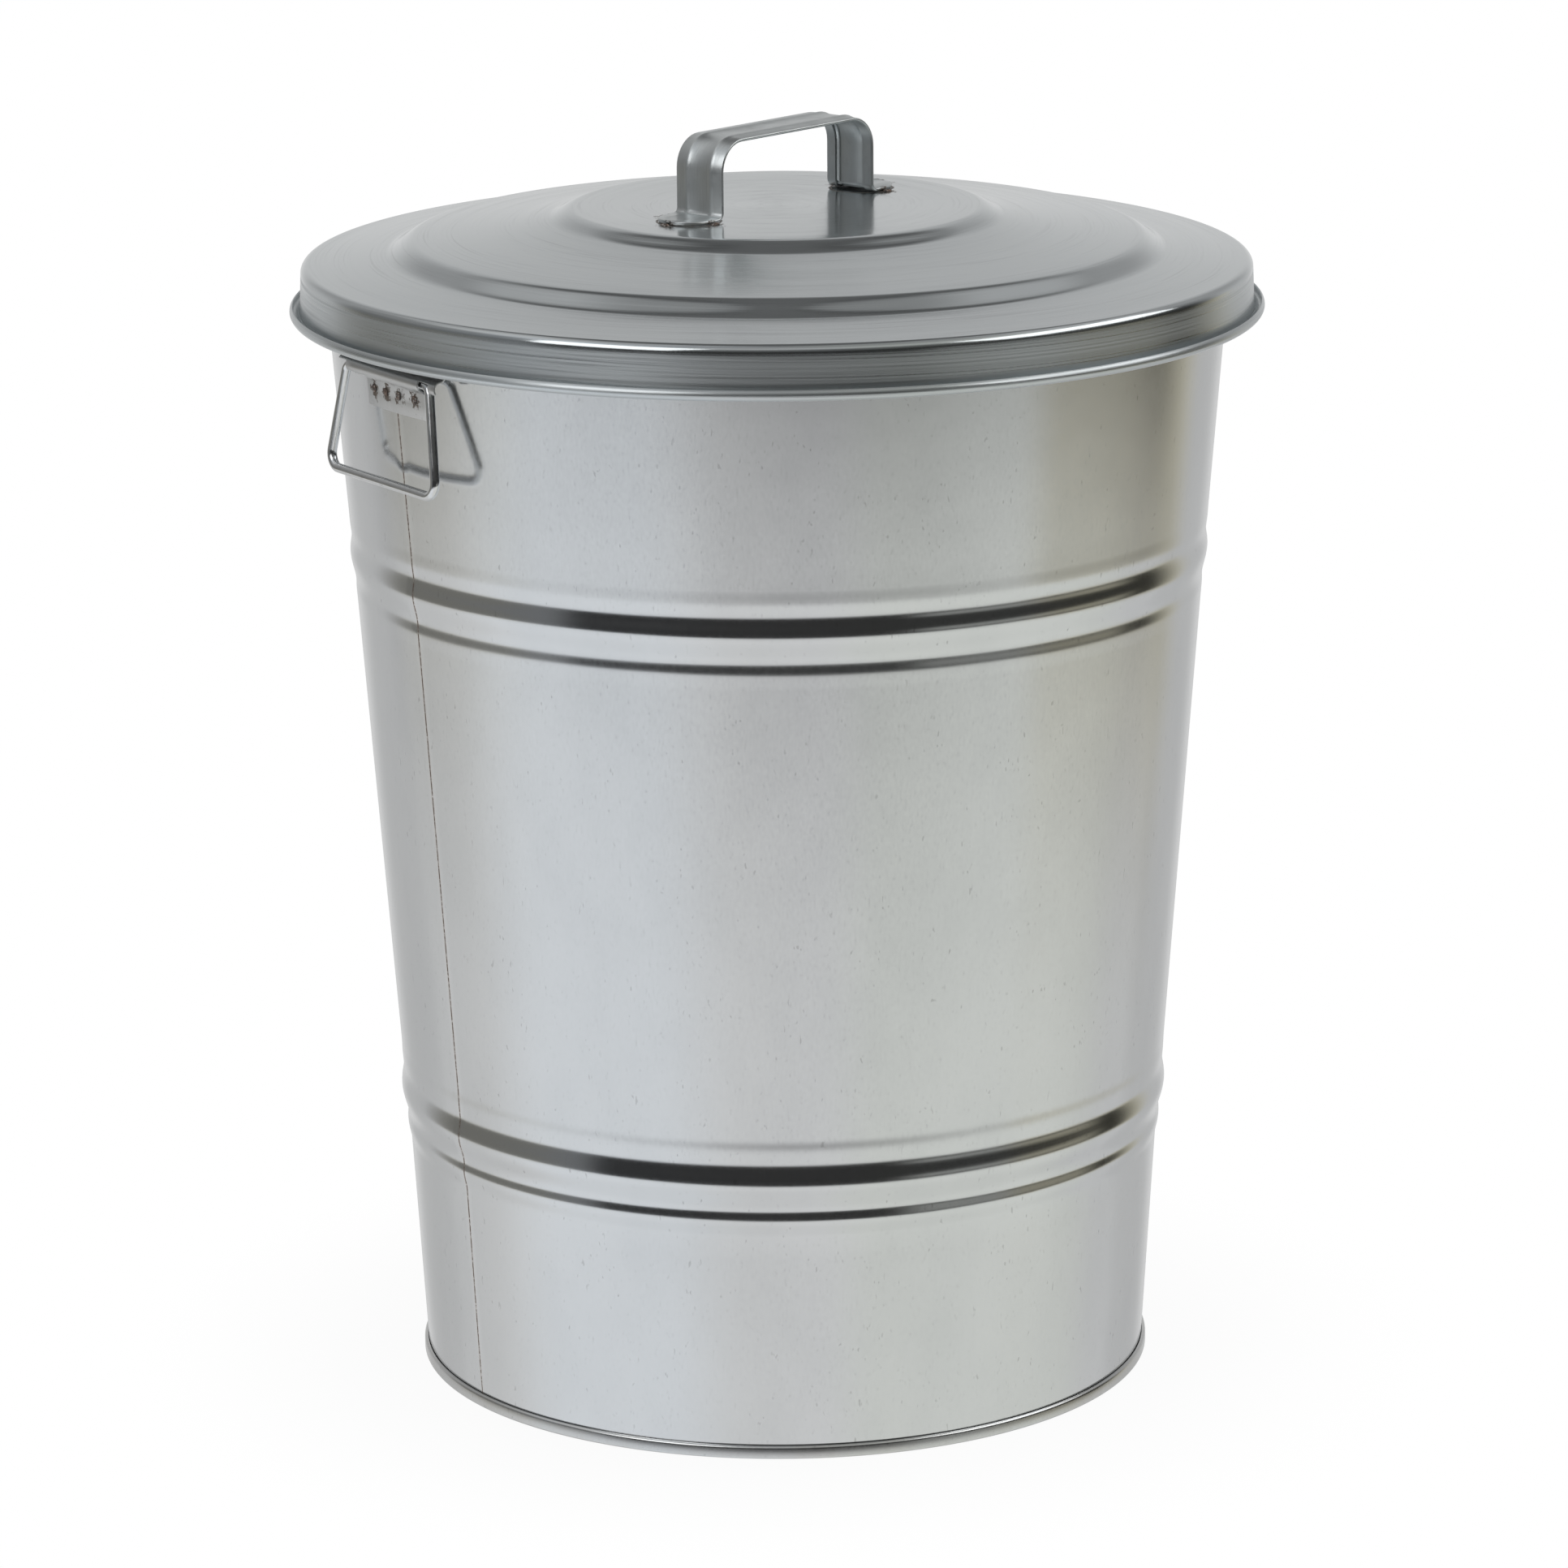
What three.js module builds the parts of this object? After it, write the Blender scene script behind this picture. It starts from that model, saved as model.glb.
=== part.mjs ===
// A galvanized sheet-steel trash can: a tapered tub with rolled hoops and two drop handles,
// and a loose stepped lid with a strap handle. Millimetres, +Z up, the foot stands on z = 0 and
// the tub's axis is the Z axis. The two drop handles are on -X and +X, the tub's seam is on -X.
import * as THREE from 'three';
import { mergeVertices } from 'three/addons/utils/BufferGeometryUtils.js';

// ---------------------------------------------------------------- driving dimensions

const sheet = 0.6;             // sheet of the tub, the floor and the lid
const seatGap = 0.3;           // between pieces that are rolled, rested or welded together
const wireDiameter = 4;        // drop handle wire

const tub = {
  height: 478.4,               // floor to the top of the rolled rim
  footRadius: 155.2,           // outer skin of the wall, drawn down to the floor
  lowerTaper: 0.0606,          // radius gained per mm of height, below the lower hoops
  middleTaper: 0.0745,         // between the hoops
  upperTaper: 0.0815,          // above the upper hoops
  rimCurlRadius: 3.75,         // outside of the rim's hollow curl
  rimCurlSweep: 290,           // degrees that the curl is wound
};

// The rolled hoops, from below: each mark is a rise from the mark before it, and how far the
// skin then stands out from the straight line across the group (a groove is negative).
const lowerHoops = {
  bottom: 97.5,
  flare: 3.4,                  // radius gained across the group
  marks: [
    { rise: 7.8, out: 0.73 },
    { rise: 3.9, out: 0.31 },
    { rise: 10.8, out: 1.85 },
    { rise: 9, out: -0.02 },
    { rise: 5, out: 0.63 },
    { rise: 6, out: 0 },
  ],
};
const upperHoops = {
  bottom: 334,
  flare: 3.2,
  marks: [
    { rise: 6.5, out: -0.07 },
    { rise: 3.5, out: -0.32 },
    { rise: 11.8, out: 1.04 },
    { rise: 7.8, out: -0.28 },
    { rise: 7.4, out: 0.07 },
    { rise: 4.5, out: 0 },
  ],
};

const seam = {
  lap: 4,                      // width of the welded lap
  lift: 0.35,                  // height left of the lap after it was rolled flat
  ramp: 3,                     // run over which the outer sheet climbs on to the lap
  edge: 0.4,                   // run of the sheet's free edge
  fade: 14,                    // height over which the lap sinks away above the foot and below the rim
};

const foot = {
  beadHeight: 5.7,
  beadCorner: 1.2,
  beadLip: 0.25,               // flat of the bead's lip beside the wall
  beadTuck: 1.4,               // room inside the bead, between the wall and the bead's inner side
  floorHeight: 9,              // underside of the floor above the ground
  floorCorner: 2,
};

const lid = {
  rimClearance: 2.87,          // between the tub's rim and the inside of the skirt at its foot
  brimCurlRadius: 2.5,
  brimCurlSweep: 240,          // degrees that the edge is wound, from the skirt
  skirtHeight: 22,             // underside of the brim to the top of the shoulder
  skirtFlare: 0.6,             // radius that the skirt gains on its way down
  shoulderRadius: 3.5,
  crownSlope: 0.116,           // rise per mm towards the middle, on both rings of the crown
  stepRadius: 157,             // middle of the step between the two rings
  stepRun: 8,
  stepRise: 6,
  discRadius: 92.5,            // middle of the step up to the flat disc
  discRun: 9,
  discRise: 5.4,
  turn: 14,                    // degrees that the lid, and so its strap, happens to be turned on the tub
};

const strap = {
  sheet: 0.8,
  width: 24.2,
  span: 96,                    // between the middles of the two legs
  height: 34,                  // disc to the top of the ribs
  bend: 13,
  footBend: 2.4,
  footLength: 19.5,            // leg to the tip of the foot
  ribHeight: 0.6,
  footRibHeight: 0.12,         // what is left of the ribs on the flattened feet
  ribWidth: 3.6,
  ribOffset: 6.6,              // rib from the middle of the strap
  hemWidth: 5,
  tipAngle: 10,                // degrees of each foot's half round that stay blunt at its tip
};

const bail = {
  pivotDrop: 27.9,             // top of the tub's rim down to the middle of the hinge bar
  wallClearance: 0.4,          // between the wire and the seam's lap
  topSpan: 60.6,               // between the legs at the hinge bar
  bottomSpan: 82,
  drop: 40,                    // hinge bar to the grip bar
  topBend: 4,
  gripBend: 6,
  endGap: 1.5,                 // between the two wire ends, in the middle of the hinge bar
};

const bracket = {
  sheet: 0.8,
  width: 74,
  neckWidth: 45,
  wireClearance: 0.6,
  flangeRise: 15,              // hinge bar to the top edge
  flangeFoot: 7.5,             // hinge bar to where the flange leaves the wall
  tabStart: 5,                 // hinge bar down to where the tab meets the wall
  tabDrop: 13,                 // hinge bar down to the bottom edge
  slotMargin: 2.2,             // room beside a leg in its slot
  rollStart: 110,              // degrees round the wire, from straight out: the roll begins,
  slotTop: 35,                 // the slots for the legs begin,
  lipEnd: -40,                 // the wide part ends
  rollEnd: -110,               // and the roll ends
};

const weld = {
  bracketRadius: 1.9,
  bracketHeight: 0.5,
  bracketOffsets: [-16, -6, 4.1, 15.5],  // along the ear, from its middle
  bracketRise: 5.2,            // above the tab's bottom edge
  strapLength: 5,
  strapWidth: 3,
  strapHeight: 1,
};

// ---------------------------------------------------------------- fineness

const facets = 40;             // round the tub and the lid
const easeSteps = 3;
const easedRise = 7;           // a hoop's rise longer than this is eased in steps
const curlStep = 36;           // degrees
const bendStep = 30;
const cornerStep = 45;
const tipStep = 20;
const wireSides = 8;
const weldSides = 8;
const tolerance = 1e-5;

// ---------------------------------------------------------------- finishes

const galvanized = new THREE.MeshStandardMaterial({ color: 0xb9bfc1, roughness: 0.38, metalness: 1 });
const spunLid = new THREE.MeshStandardMaterial({ color: 0xa2a8ab, roughness: 0.3, metalness: 1 });
const brightWire = new THREE.MeshStandardMaterial({ color: 0xc4c8ca, roughness: 0.16, metalness: 1 });
const brightStrap = new THREE.MeshStandardMaterial({ color: 0xa9afb2, roughness: 0.24, metalness: 1 });
const earSheet = new THREE.MeshStandardMaterial({ color: 0xa8adae, roughness: 0.42, metalness: 1 });
const burntWeld = new THREE.MeshStandardMaterial({ color: 0x4d443d, roughness: 0.75, metalness: 0.4 });

// ---------------------------------------------------------------- plane outlines

const radians = THREE.MathUtils.degToRad;
const point = (x, y) => new THREE.Vector2(x, y);

/** Points on an arc, both ends included. */
function arc(centre, radius, from, to, step) {
  const count = Math.max(1, Math.ceil(Math.abs(to - from) / step));
  return Array.from({ length: count + 1 }, (_, i) => {
    const angle = radians(from + ((to - from) * i) / count);
    return point(centre.x + radius * Math.cos(angle), centre.y + radius * Math.sin(angle));
  });
}

/** Points after `start` up to `end`; y eases from level to level while x runs evenly. */
function ease(start, end, steps) {
  return Array.from({ length: steps }, (_, i) => {
    const t = (i + 1) / steps;
    const eased = (1 - Math.cos(Math.PI * t)) / 2;
    return point(start.x + (end.x - start.x) * t, start.y + (end.y - start.y) * eased);
  });
}

/** An open line with its inner corners rounded. */
function rounded(corners, radii, step) {
  const line = [corners[0]];
  radii.forEach((radius, i) => {
    const corner = corners[i + 1];
    const back = corners[i].clone().sub(corner).normalize();
    const ahead = corners[i + 2].clone().sub(corner).normalize();
    const half = Math.acos(back.dot(ahead)) / 2;
    const middle = back.clone().add(ahead).normalize();
    const centre = corner.clone().addScaledVector(middle, radius / Math.sin(half));
    const first = corner.clone().addScaledVector(back, radius / Math.tan(half)).sub(centre).angle();
    const side = Math.sign(back.cross(ahead));
    const sweep = side * (180 - THREE.MathUtils.radToDeg(2 * half));
    const from = THREE.MathUtils.radToDeg(first);
    line.push(...arc(centre, radius, from, from - sweep, step));
  });
  line.push(corners.at(-1));
  return line;
}

/** Each point of an open line moved to its right by `distance`, with mitred corners. */
function offset(line, distance) {
  const right = (a, b) => point(b.y - a.y, a.x - b.x).normalize();
  return line.map((p, i) => {
    const before = right(line[Math.max(i - 1, 0)], line[Math.max(i, 1)]);
    const after = right(line[Math.min(i, line.length - 2)], line[Math.min(i + 1, line.length - 1)]);
    const mitre = before.clone().add(after).normalize();
    return p.clone().addScaledVector(mitre, distance / mitre.dot(before));
  });
}

/** The closed section of a sheet whose skin is `skin`, thick to the right of the line. */
const sheetSection = (skin, thickness) => [...skin, ...offset(skin, thickness).reverse()];

// ---------------------------------------------------------------- solids

/** A closed body from corner points and faces, with faces of no area left out and facing out. */
function solid(corners, faces) {
  const geometry = new THREE.BufferGeometry();
  geometry.setAttribute('position', new THREE.Float32BufferAttribute(corners.flatMap((c) => c.toArray()), 3));
  geometry.setIndex(faces.flat());
  const merged = mergeVertices(geometry, tolerance);
  const index = merged.index.array;
  const kept = [];
  for (let i = 0; i < index.length; i += 3) {
    const [a, b, c] = index.slice(i, i + 3);
    if (a !== b && b !== c && c !== a) kept.push(a, b, c);
  }
  if (signedVolume(merged.attributes.position, kept) < 0) kept.reverse();
  merged.setIndex(kept);
  merged.computeVertexNormals();
  return merged;
}

function signedVolume(position, index) {
  const [a, b, c] = [new THREE.Vector3(), new THREE.Vector3(), new THREE.Vector3()];
  let volume = 0;
  for (let i = 0; i < index.length; i += 3) {
    [a, b, c].forEach((v, k) => v.fromBufferAttribute(position, index[i + k]));
    volume += a.dot(b.cross(c)) / 6;
  }
  return volume;
}

/** Faces between rings of `sides` corners each; `closed` joins the last ring to the first. */
function ringFaces(rings, sides, closed) {
  const faces = [];
  for (let i = 0; i < (closed ? rings : rings - 1); i++) {
    for (let j = 0; j < sides; j++) {
      const [a, b] = [i * sides + j, i * sides + ((j + 1) % sides)];
      const [c, d] = [((i + 1) % rings) * sides + j, ((i + 1) % rings) * sides + ((j + 1) % sides)];
      faces.push([a, b, d], [a, d, c]);
    }
  }
  return faces;
}

/** A body through like rings of corners, closed at both ends. */
function loft(rings) {
  const sides = rings[0].length;
  const faces = ringFaces(rings.length, sides, false);
  const outline = (ring) => THREE.ShapeUtils.triangulateShape(flatten(ring), []);
  outline(rings[0]).forEach(([a, b, c]) => faces.push([c, b, a]));
  const last = (rings.length - 1) * sides;
  outline(rings.at(-1)).forEach(([a, b, c]) => faces.push([last + a, last + b, last + c]));
  return solid(rings.flat(), faces);
}

/** A flat ring of corners drawn in its own plane. */
function flatten(ring) {
  const normal = new THREE.Vector3();
  ring.forEach((p, i) => normal.add(p.clone().cross(ring[(i + 1) % ring.length])));
  const turn = new THREE.Quaternion().setFromUnitVectors(normal.normalize(), new THREE.Vector3(0, 0, 1));
  return ring.map((p) => p.clone().applyQuaternion(turn)).map((p) => point(p.x, p.y));
}

/** A closed section (x is the radius, y the height) turned round the Z axis. */
function revolve(section, stations = evenStations(facets)) {
  const corners = stations.flatMap((place) => section.map((p, i) => place(p.x, p.y, i)));
  return solid(corners, ringFaces(stations.length, section.length, true));
}

const evenStations = (count) => Array.from({ length: count }, (_, k) => ringPlace((2 * Math.PI * k) / count));
const ringPlace = (angle) => (r, z) => new THREE.Vector3(r * Math.cos(angle), r * Math.sin(angle), z);

/** A sheet on a grid of back and front corners, with only the cells that `keep` names. */
function gridSheet(back, front, keep) {
  const [rows, columns] = [back.length, back[0].length];
  const backAt = (i, j) => i * columns + j;
  const frontAt = (i, j) => rows * columns + backAt(i, j);
  const kept = (i, j) => i >= 0 && j >= 0 && i < rows - 1 && j < columns - 1 && keep(i, j);
  const faces = [];
  const quad = (a, b, c, d) => faces.push([a, b, c], [a, c, d]);
  const wall = (i, j, k, l) => quad(backAt(i, j), backAt(k, l), frontAt(k, l), frontAt(i, j));
  for (let i = 0; i < rows - 1; i++) {
    for (let j = 0; j < columns - 1; j++) {
      if (!kept(i, j)) continue;
      quad(backAt(i, j), backAt(i + 1, j), backAt(i + 1, j + 1), backAt(i, j + 1));
      quad(frontAt(i, j), frontAt(i, j + 1), frontAt(i + 1, j + 1), frontAt(i + 1, j));
      if (!kept(i - 1, j)) wall(i, j, i, j + 1);
      if (!kept(i + 1, j)) wall(i + 1, j + 1, i + 1, j);
      if (!kept(i, j - 1)) wall(i + 1, j, i, j);
      if (!kept(i, j + 1)) wall(i, j + 1, i + 1, j + 1);
    }
  }
  return solid([...back.flat(), ...front.flat()], faces);
}

function named(name, geometry, material) {
  const mesh = new THREE.Mesh(geometry, material);
  mesh.name = name;
  return mesh;
}

// ---------------------------------------------------------------- tub wall

const hoopHeight = (hoops) => hoops.marks.reduce((sum, mark) => sum + mark.rise, 0);
const lowerTop = lowerHoops.bottom + hoopHeight(lowerHoops);
const upperTop = upperHoops.bottom + hoopHeight(upperHoops);
const lowerStartRadius = tub.footRadius + tub.lowerTaper * lowerHoops.bottom;
const upperStartRadius = lowerStartRadius + lowerHoops.flare + tub.middleTaper * (upperHoops.bottom - lowerTop);
const upperEndRadius = upperStartRadius + upperHoops.flare;

const footSkin = (z) => tub.footRadius + tub.lowerTaper * z;
const rimSkin = (z) => upperEndRadius + tub.upperTaper * (z - upperTop);

const rimCentre = point(0, tub.height - tub.rimCurlRadius);
rimCentre.x = rimSkin(rimCentre.y) - sheet + tub.rimCurlRadius;
const pivotHeight = tub.height - bail.pivotDrop;

/** The skin across one group of hoops, without its lowest point. */
function hoopSkin(hoops, startRadius) {
  const height = hoopHeight(hoops);
  const line = (rise) => startRadius + (hoops.flare * rise) / height;
  const skin = [];
  let rise = 0;
  let out = 0;
  hoops.marks.forEach((mark) => {
    const steps = mark.rise > easedRise ? easeSteps : 1;
    ease(point(rise, out), point(rise + mark.rise, mark.out), steps)
      .forEach((p) => skin.push(point(line(p.x) + p.y, hoops.bottom + p.x)));
    rise += mark.rise;
    out = mark.out;
  });
  return skin;
}

/** The wall's outer skin, from the foot up and round inside the rim's curl. */
function wallSkin() {
  const footEnd = sheet + seatGap;
  return [
    point(footSkin(footEnd), footEnd),
    point(footSkin(foot.floorHeight), foot.floorHeight),
    point(footSkin(foot.floorHeight + seam.fade), foot.floorHeight + seam.fade),
    point(lowerStartRadius, lowerHoops.bottom),
    ...hoopSkin(lowerHoops, lowerStartRadius),
    point(upperStartRadius, upperHoops.bottom),
    ...hoopSkin(upperHoops, upperStartRadius),
    point(rimSkin(rimCentre.y - seam.fade), rimCentre.y - seam.fade),
    ...arc(rimCentre, tub.rimCurlRadius - sheet, 180, 180 - tub.rimCurlSweep, curlStep),
  ];
}

/** Stations round the wall, with the lap of the seam raised on the outer skin only. */
function wallStations(skin) {
  const lifted = (z) => z >= foot.floorHeight + seam.fade && z <= rimCentre.y - seam.fade;
  const facetAngle = (2 * Math.PI) / facets;
  const onFacet = (angle, lift) => (r, z, i) => {
    const start = Math.floor(angle / facetAngle + tolerance) * facetAngle;
    const share = (angle - start) / facetAngle;
    const flat = ringPlace(start)(r, z).lerp(ringPlace(start + facetAngle)(r, z), share);
    const raise = i < skin.length && lifted(z) ? lift : 0;
    return flat.add(ringPlace(angle)(raise, 0));
  };
  const run = (length) => length / rimSkin(pivotHeight);
  const stations = Array.from({ length: facets }, (_, k) => ({ angle: k * facetAngle, lift: 0 }))
    .filter(({ angle }) => Math.abs(angle - Math.PI) > facetAngle / 2);
  stations.push(
    { angle: Math.PI - run(seam.lap + seam.ramp), lift: 0 },
    { angle: Math.PI - run(seam.lap), lift: seam.lift },
    { angle: Math.PI, lift: seam.lift },
    { angle: Math.PI + run(seam.edge), lift: 0 },
  );
  return stations.sort((a, b) => a.angle - b.angle).map(({ angle, lift }) => onFacet(angle, lift));
}

function bodyShell() {
  const skin = wallSkin();
  const inner = offset(skin, -sheet);
  return revolve([...skin, ...inner.reverse()], wallStations(skin));
}

// ---------------------------------------------------------------- floor and foot bead

/** The floor pan: its edge is rolled round the foot of the wall as the bead that it stands on. */
function basePlate() {
  const corner = foot.beadCorner;
  const lipRadius = footSkin(foot.beadHeight) + seatGap;
  const beadOuter = lipRadius + foot.beadLip + corner;
  const beadInner = tub.footRadius - 2 * sheet - foot.beadTuck;
  const sideTop = foot.floorHeight - foot.floorCorner;
  const sideRadius = footSkin(sideTop) - sheet - seatGap - sheet;
  const skin = [
    point(lipRadius, foot.beadHeight),
    ...arc(point(beadOuter - corner, foot.beadHeight - corner), corner, 90, 0, cornerStep),
    ...arc(point(beadOuter - corner, corner), corner, 0, -90, cornerStep),
    ...arc(point(beadInner + corner, corner), corner, -90, -180, cornerStep),
    point(beadInner, foot.beadHeight / 2),
    ...arc(point(sideRadius - foot.floorCorner, sideTop), foot.floorCorner, 0, 90, cornerStep),
    point(0, foot.floorHeight),
  ];
  return revolve(sheetSection(skin, sheet));
}

// ---------------------------------------------------------------- lid pan

const skirtBottomRadius = rimCentre.x + tub.rimCurlRadius + lid.rimClearance + sheet;
const skirtTopRadius = skirtBottomRadius - lid.skirtFlare;
const shoulderStart = point(skirtTopRadius - lid.shoulderRadius, lid.skirtHeight);
const crownHeight = (r) => shoulderStart.y + lid.crownSlope * (shoulderStart.x - r);
const stepFoot = lid.stepRadius + lid.stepRun / 2;
const stepHead = lid.stepRadius - lid.stepRun / 2;
const discFoot = lid.discRadius + lid.discRun / 2;
const discEdge = lid.discRadius - lid.discRun / 2;
const stepHeadHeight = crownHeight(stepFoot) + lid.stepRise;
const discFootHeight = stepHeadHeight + lid.crownSlope * (stepHead - discFoot);
const discHeight = discFootHeight + lid.discRise;

// The lid rests with the underside of its outer ring on the top of the rim's curl.
const crownTilt = Math.hypot(1, lid.crownSlope);
const lidHeight = rimCentre.y + (tub.rimCurlRadius + seatGap + sheet) * crownTilt - crownHeight(rimCentre.x);

/** The lid's upper skin from its middle out, down the skirt and round inside the brim's curl. */
function lidSkin() {
  const brimCentre = point(skirtBottomRadius - sheet + lid.brimCurlRadius, lid.brimCurlRadius);
  const shoulderCentre = point(shoulderStart.x, shoulderStart.y - lid.shoulderRadius);
  return [
    point(0, discHeight),
    point(discEdge, discHeight),
    ...ease(point(discEdge, discHeight), point(discFoot, discFootHeight), easeSteps),
    point(stepHead, stepHeadHeight),
    ...ease(point(stepHead, stepHeadHeight), point(stepFoot, crownHeight(stepFoot)), easeSteps),
    ...arc(shoulderCentre, lid.shoulderRadius, 90, 0, bendStep),
    ...arc(brimCentre, lid.brimCurlRadius - sheet, 180, 180 + lid.brimCurlSweep, curlStep),
  ];
}

const lidPan = () => revolve(sheetSection(lidSkin(), sheet));

// ---------------------------------------------------------------- lid strap handle

const strapHalf = strap.sheet / 2;
const strapBottom = strapHalf + strap.sheet;        // the hems are folded under the strap
const strapTop = strapHalf + strap.ribHeight;

/** The strap's section: x across it, y out of its face, with two ribs and two folded hems. */
function strapSection(widthShare, ribHeight) {
  const half = strap.width / 2;
  const ribFoot = strap.ribWidth / 2;
  const rib = (side) => [
    point(side * (strap.ribOffset - side * ribFoot), strapHalf),
    point(side * strap.ribOffset, strapHalf + ribHeight),
    point(side * (strap.ribOffset + side * ribFoot), strapHalf),
  ];
  const hem = half - strap.hemWidth;
  return [
    point(-half, strapHalf), ...rib(-1), ...rib(1), point(half, strapHalf),
    point(half, -strapBottom), point(hem, -strapBottom), point(hem, -strapHalf),
    point(-hem, -strapHalf), point(-hem, -strapBottom), point(-half, -strapBottom),
  ].map((p) => point(p.x * widthShare, p.y));
}

/** The strap in the XZ plane, its feet turned outwards, standing on z = 0. */
function lidHandle() {
  const leg = strap.span / 2;
  const tip = leg + strap.footLength;
  const top = strap.height - strapTop;
  const corners = [point(-tip, strapBottom), point(-leg, strapBottom), point(-leg, top),
    point(leg, top), point(leg, strapBottom), point(tip, strapBottom)];
  const line = rounded(corners, [strap.footBend, strap.bend, strap.bend, strap.footBend], bendStep);
  const endRadius = strap.width / 2;
  const endLine = arc(point(0, 0), endRadius, strap.tipAngle, 90, tipStep).map((p) => ({
    inset: endRadius - p.x,
    share: p.y / endRadius,
  })).reverse();
  const footEnd = (side) => endLine.map(({ inset, share }) => ({
    p: point(side * (tip - inset), strapBottom), share,
  }));
  const stations = [
    ...footEnd(-1).reverse(),
    ...line.slice(1, -1).map((p) => ({ p, share: 1 })),
    ...footEnd(1),
  ];
  const path = stations.map((s) => s.p);
  const outward = offset(path, -1).map((p, i) => p.sub(path[i]));
  const ribStart = strapBottom + strap.footBend;
  return loft(stations.map(({ p, share }, i) => {
    const ribHeight = p.y < ribStart ? strap.footRibHeight : strap.ribHeight;
    return strapSection(share, ribHeight).map(
      (q) => new THREE.Vector3(p.x + outward[i].x * q.y, q.x, p.y + outward[i].y * q.y));
  }));
}

// ---------------------------------------------------------------- drop handles and their ears

const wireRadius = wireDiameter / 2;
const pivotRadius = rimSkin(pivotHeight + wireRadius) + seam.lift + bail.wallClearance + wireRadius;

/** One drop handle, hanging below its hinge bar, which lies on the Y axis. */
function bailWire() {
  const [top, grip] = [bail.topSpan / 2, bail.bottomSpan / 2];
  const corners = [point(bail.endGap / 2, 0), point(top, 0), point(grip, -bail.drop), point(-grip, -bail.drop),
    point(-top, 0), point(-bail.endGap / 2, 0)];
  const line = rounded(corners, [bail.topBend, bail.gripBend, bail.gripBend, bail.topBend], bendStep);
  const side = offset(line, 1).map((p, i) => p.sub(line[i]));
  const ring = arc(point(0, 0), wireRadius, 0, 360, 360 / wireSides).slice(1);
  return loft(line.map((p, i) => ring.map(
    (q) => new THREE.Vector3(q.y, p.x + side[i].x * q.x, p.y + side[i].y * q.x))));
}

const between = (a, b) => (a + b) / 2;
const rollAngles = [
  bracket.rollStart, between(bracket.rollStart, bracket.slotTop),
  bracket.slotTop, between(bracket.slotTop, bracket.lipEnd),
  bracket.lipEnd, between(bracket.lipEnd, bracket.rollEnd), bracket.rollEnd,
];

/** The back of the ear's sheet, from its top edge down: wall, roll over the wire, wall again. */
function bracketBack(y, seat) {
  const radius = wireRadius + bracket.wireClearance;
  const pivot = point(pivotRadius, pivotHeight);
  const onWall = (z) => point(Math.sqrt((rimSkin(z) + seat) ** 2 - y * y), z);
  const rollPoint = (angle) => arc(pivot, radius, angle, angle, 1)[0];
  return [
    onWall(pivotHeight + bracket.flangeRise),
    onWall(pivotHeight + bracket.flangeFoot),
    ...rollAngles.map(rollPoint),
    onWall(pivotHeight - bracket.tabStart),
    onWall(pivotHeight - bracket.tabDrop),
  ];
}

/** One ear, wrapped over the hinge bar of its drop handle, on the +X side of the tub. */
function bracketSheet(seat) {
  const [wide, neck] = [bracket.width / 2, bracket.neckWidth / 2];
  const leg = bail.topSpan / 2;
  const slot = wireRadius + bracket.slotMargin;
  const half = [0, neck / 2, neck, leg - slot, leg + slot, wide];
  const across = [...half.slice(1).map((y) => -y).reverse(), ...half];
  const columns = across.map((y) => bracketBack(y, seat));
  const fronts = columns.map((back) => offset(back, -bracket.sheet));
  const grid = (lines) => lines[0].map((_, i) => lines.map(
    (line, j) => new THREE.Vector3(line[i].x, across[j], line[i].y)));
  const flangeRows = 2;
  const slotRow = flangeRows + rollAngles.indexOf(bracket.slotTop);
  const lipRow = flangeRows + rollAngles.indexOf(bracket.lipEnd);
  const keep = (i, j) => {
    const y = Math.abs(between(across[j], across[j + 1]));
    if (i < slotRow) return true;
    if (i < lipRow) return Math.abs(y - leg) > slot;
    return y < neck;
  };
  return gridSheet(grid(columns), grid(fronts), keep);
}

// ---------------------------------------------------------------- welds

/** A low round lump of weld metal on the XY plane, 1 in radius and height. */
function weldLump() {
  const shoulder = point(0.8, 0.65);
  return revolve([point(0, 0), point(1, 0), shoulder, point(0, 1)], evenStations(weldSides));
}

function bracketWelds(side, seat) {
  const z = pivotHeight - bracket.tabDrop + weld.bracketRise;
  const radius = rimSkin(z) + seat + bracket.sheet + seatGap;
  return weld.bracketOffsets.map((along, i) => {
    const mesh = named(`bracket_${side}_weld_${i + 1}`, weldLump(), burntWeld);
    const turn = along / radius;
    mesh.scale.set(weld.bracketRadius, weld.bracketRadius, weld.bracketHeight);
    mesh.rotation.set(0, Math.PI / 2 + Math.atan(tub.upperTaper), turn, 'ZYX');
    mesh.position.set(radius * Math.cos(turn), radius * Math.sin(turn), z);
    return mesh;
  });
}

/** Three tacks round each foot: at its tip and on its two sides. */
function strapWelds() {
  const gap = weld.strapWidth / 2 + seatGap;
  const tipX = strap.span / 2 + strap.footLength + gap;
  const sideX = strap.span / 2 + strap.footLength - strap.width / 2;
  const sideY = strap.width / 2 + gap;
  const places = [
    { x: tipX, y: 0, turn: Math.PI / 2 },
    { x: sideX, y: sideY, turn: 0 },
    { x: sideX, y: -sideY, turn: 0 },
  ];
  return [-1, 1].flatMap((end, e) => places.map(({ x, y, turn }, i) => {
    const mesh = named(`lid_handle_weld_${e * places.length + i + 1}`, weldLump(), burntWeld);
    mesh.scale.set(weld.strapLength / 2, weld.strapWidth / 2, weld.strapHeight);
    mesh.rotation.z = turn;
    mesh.position.set(end * x, y, seatGap / 2);
    return mesh;
  }));
}

// ---------------------------------------------------------------- assembly

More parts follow.
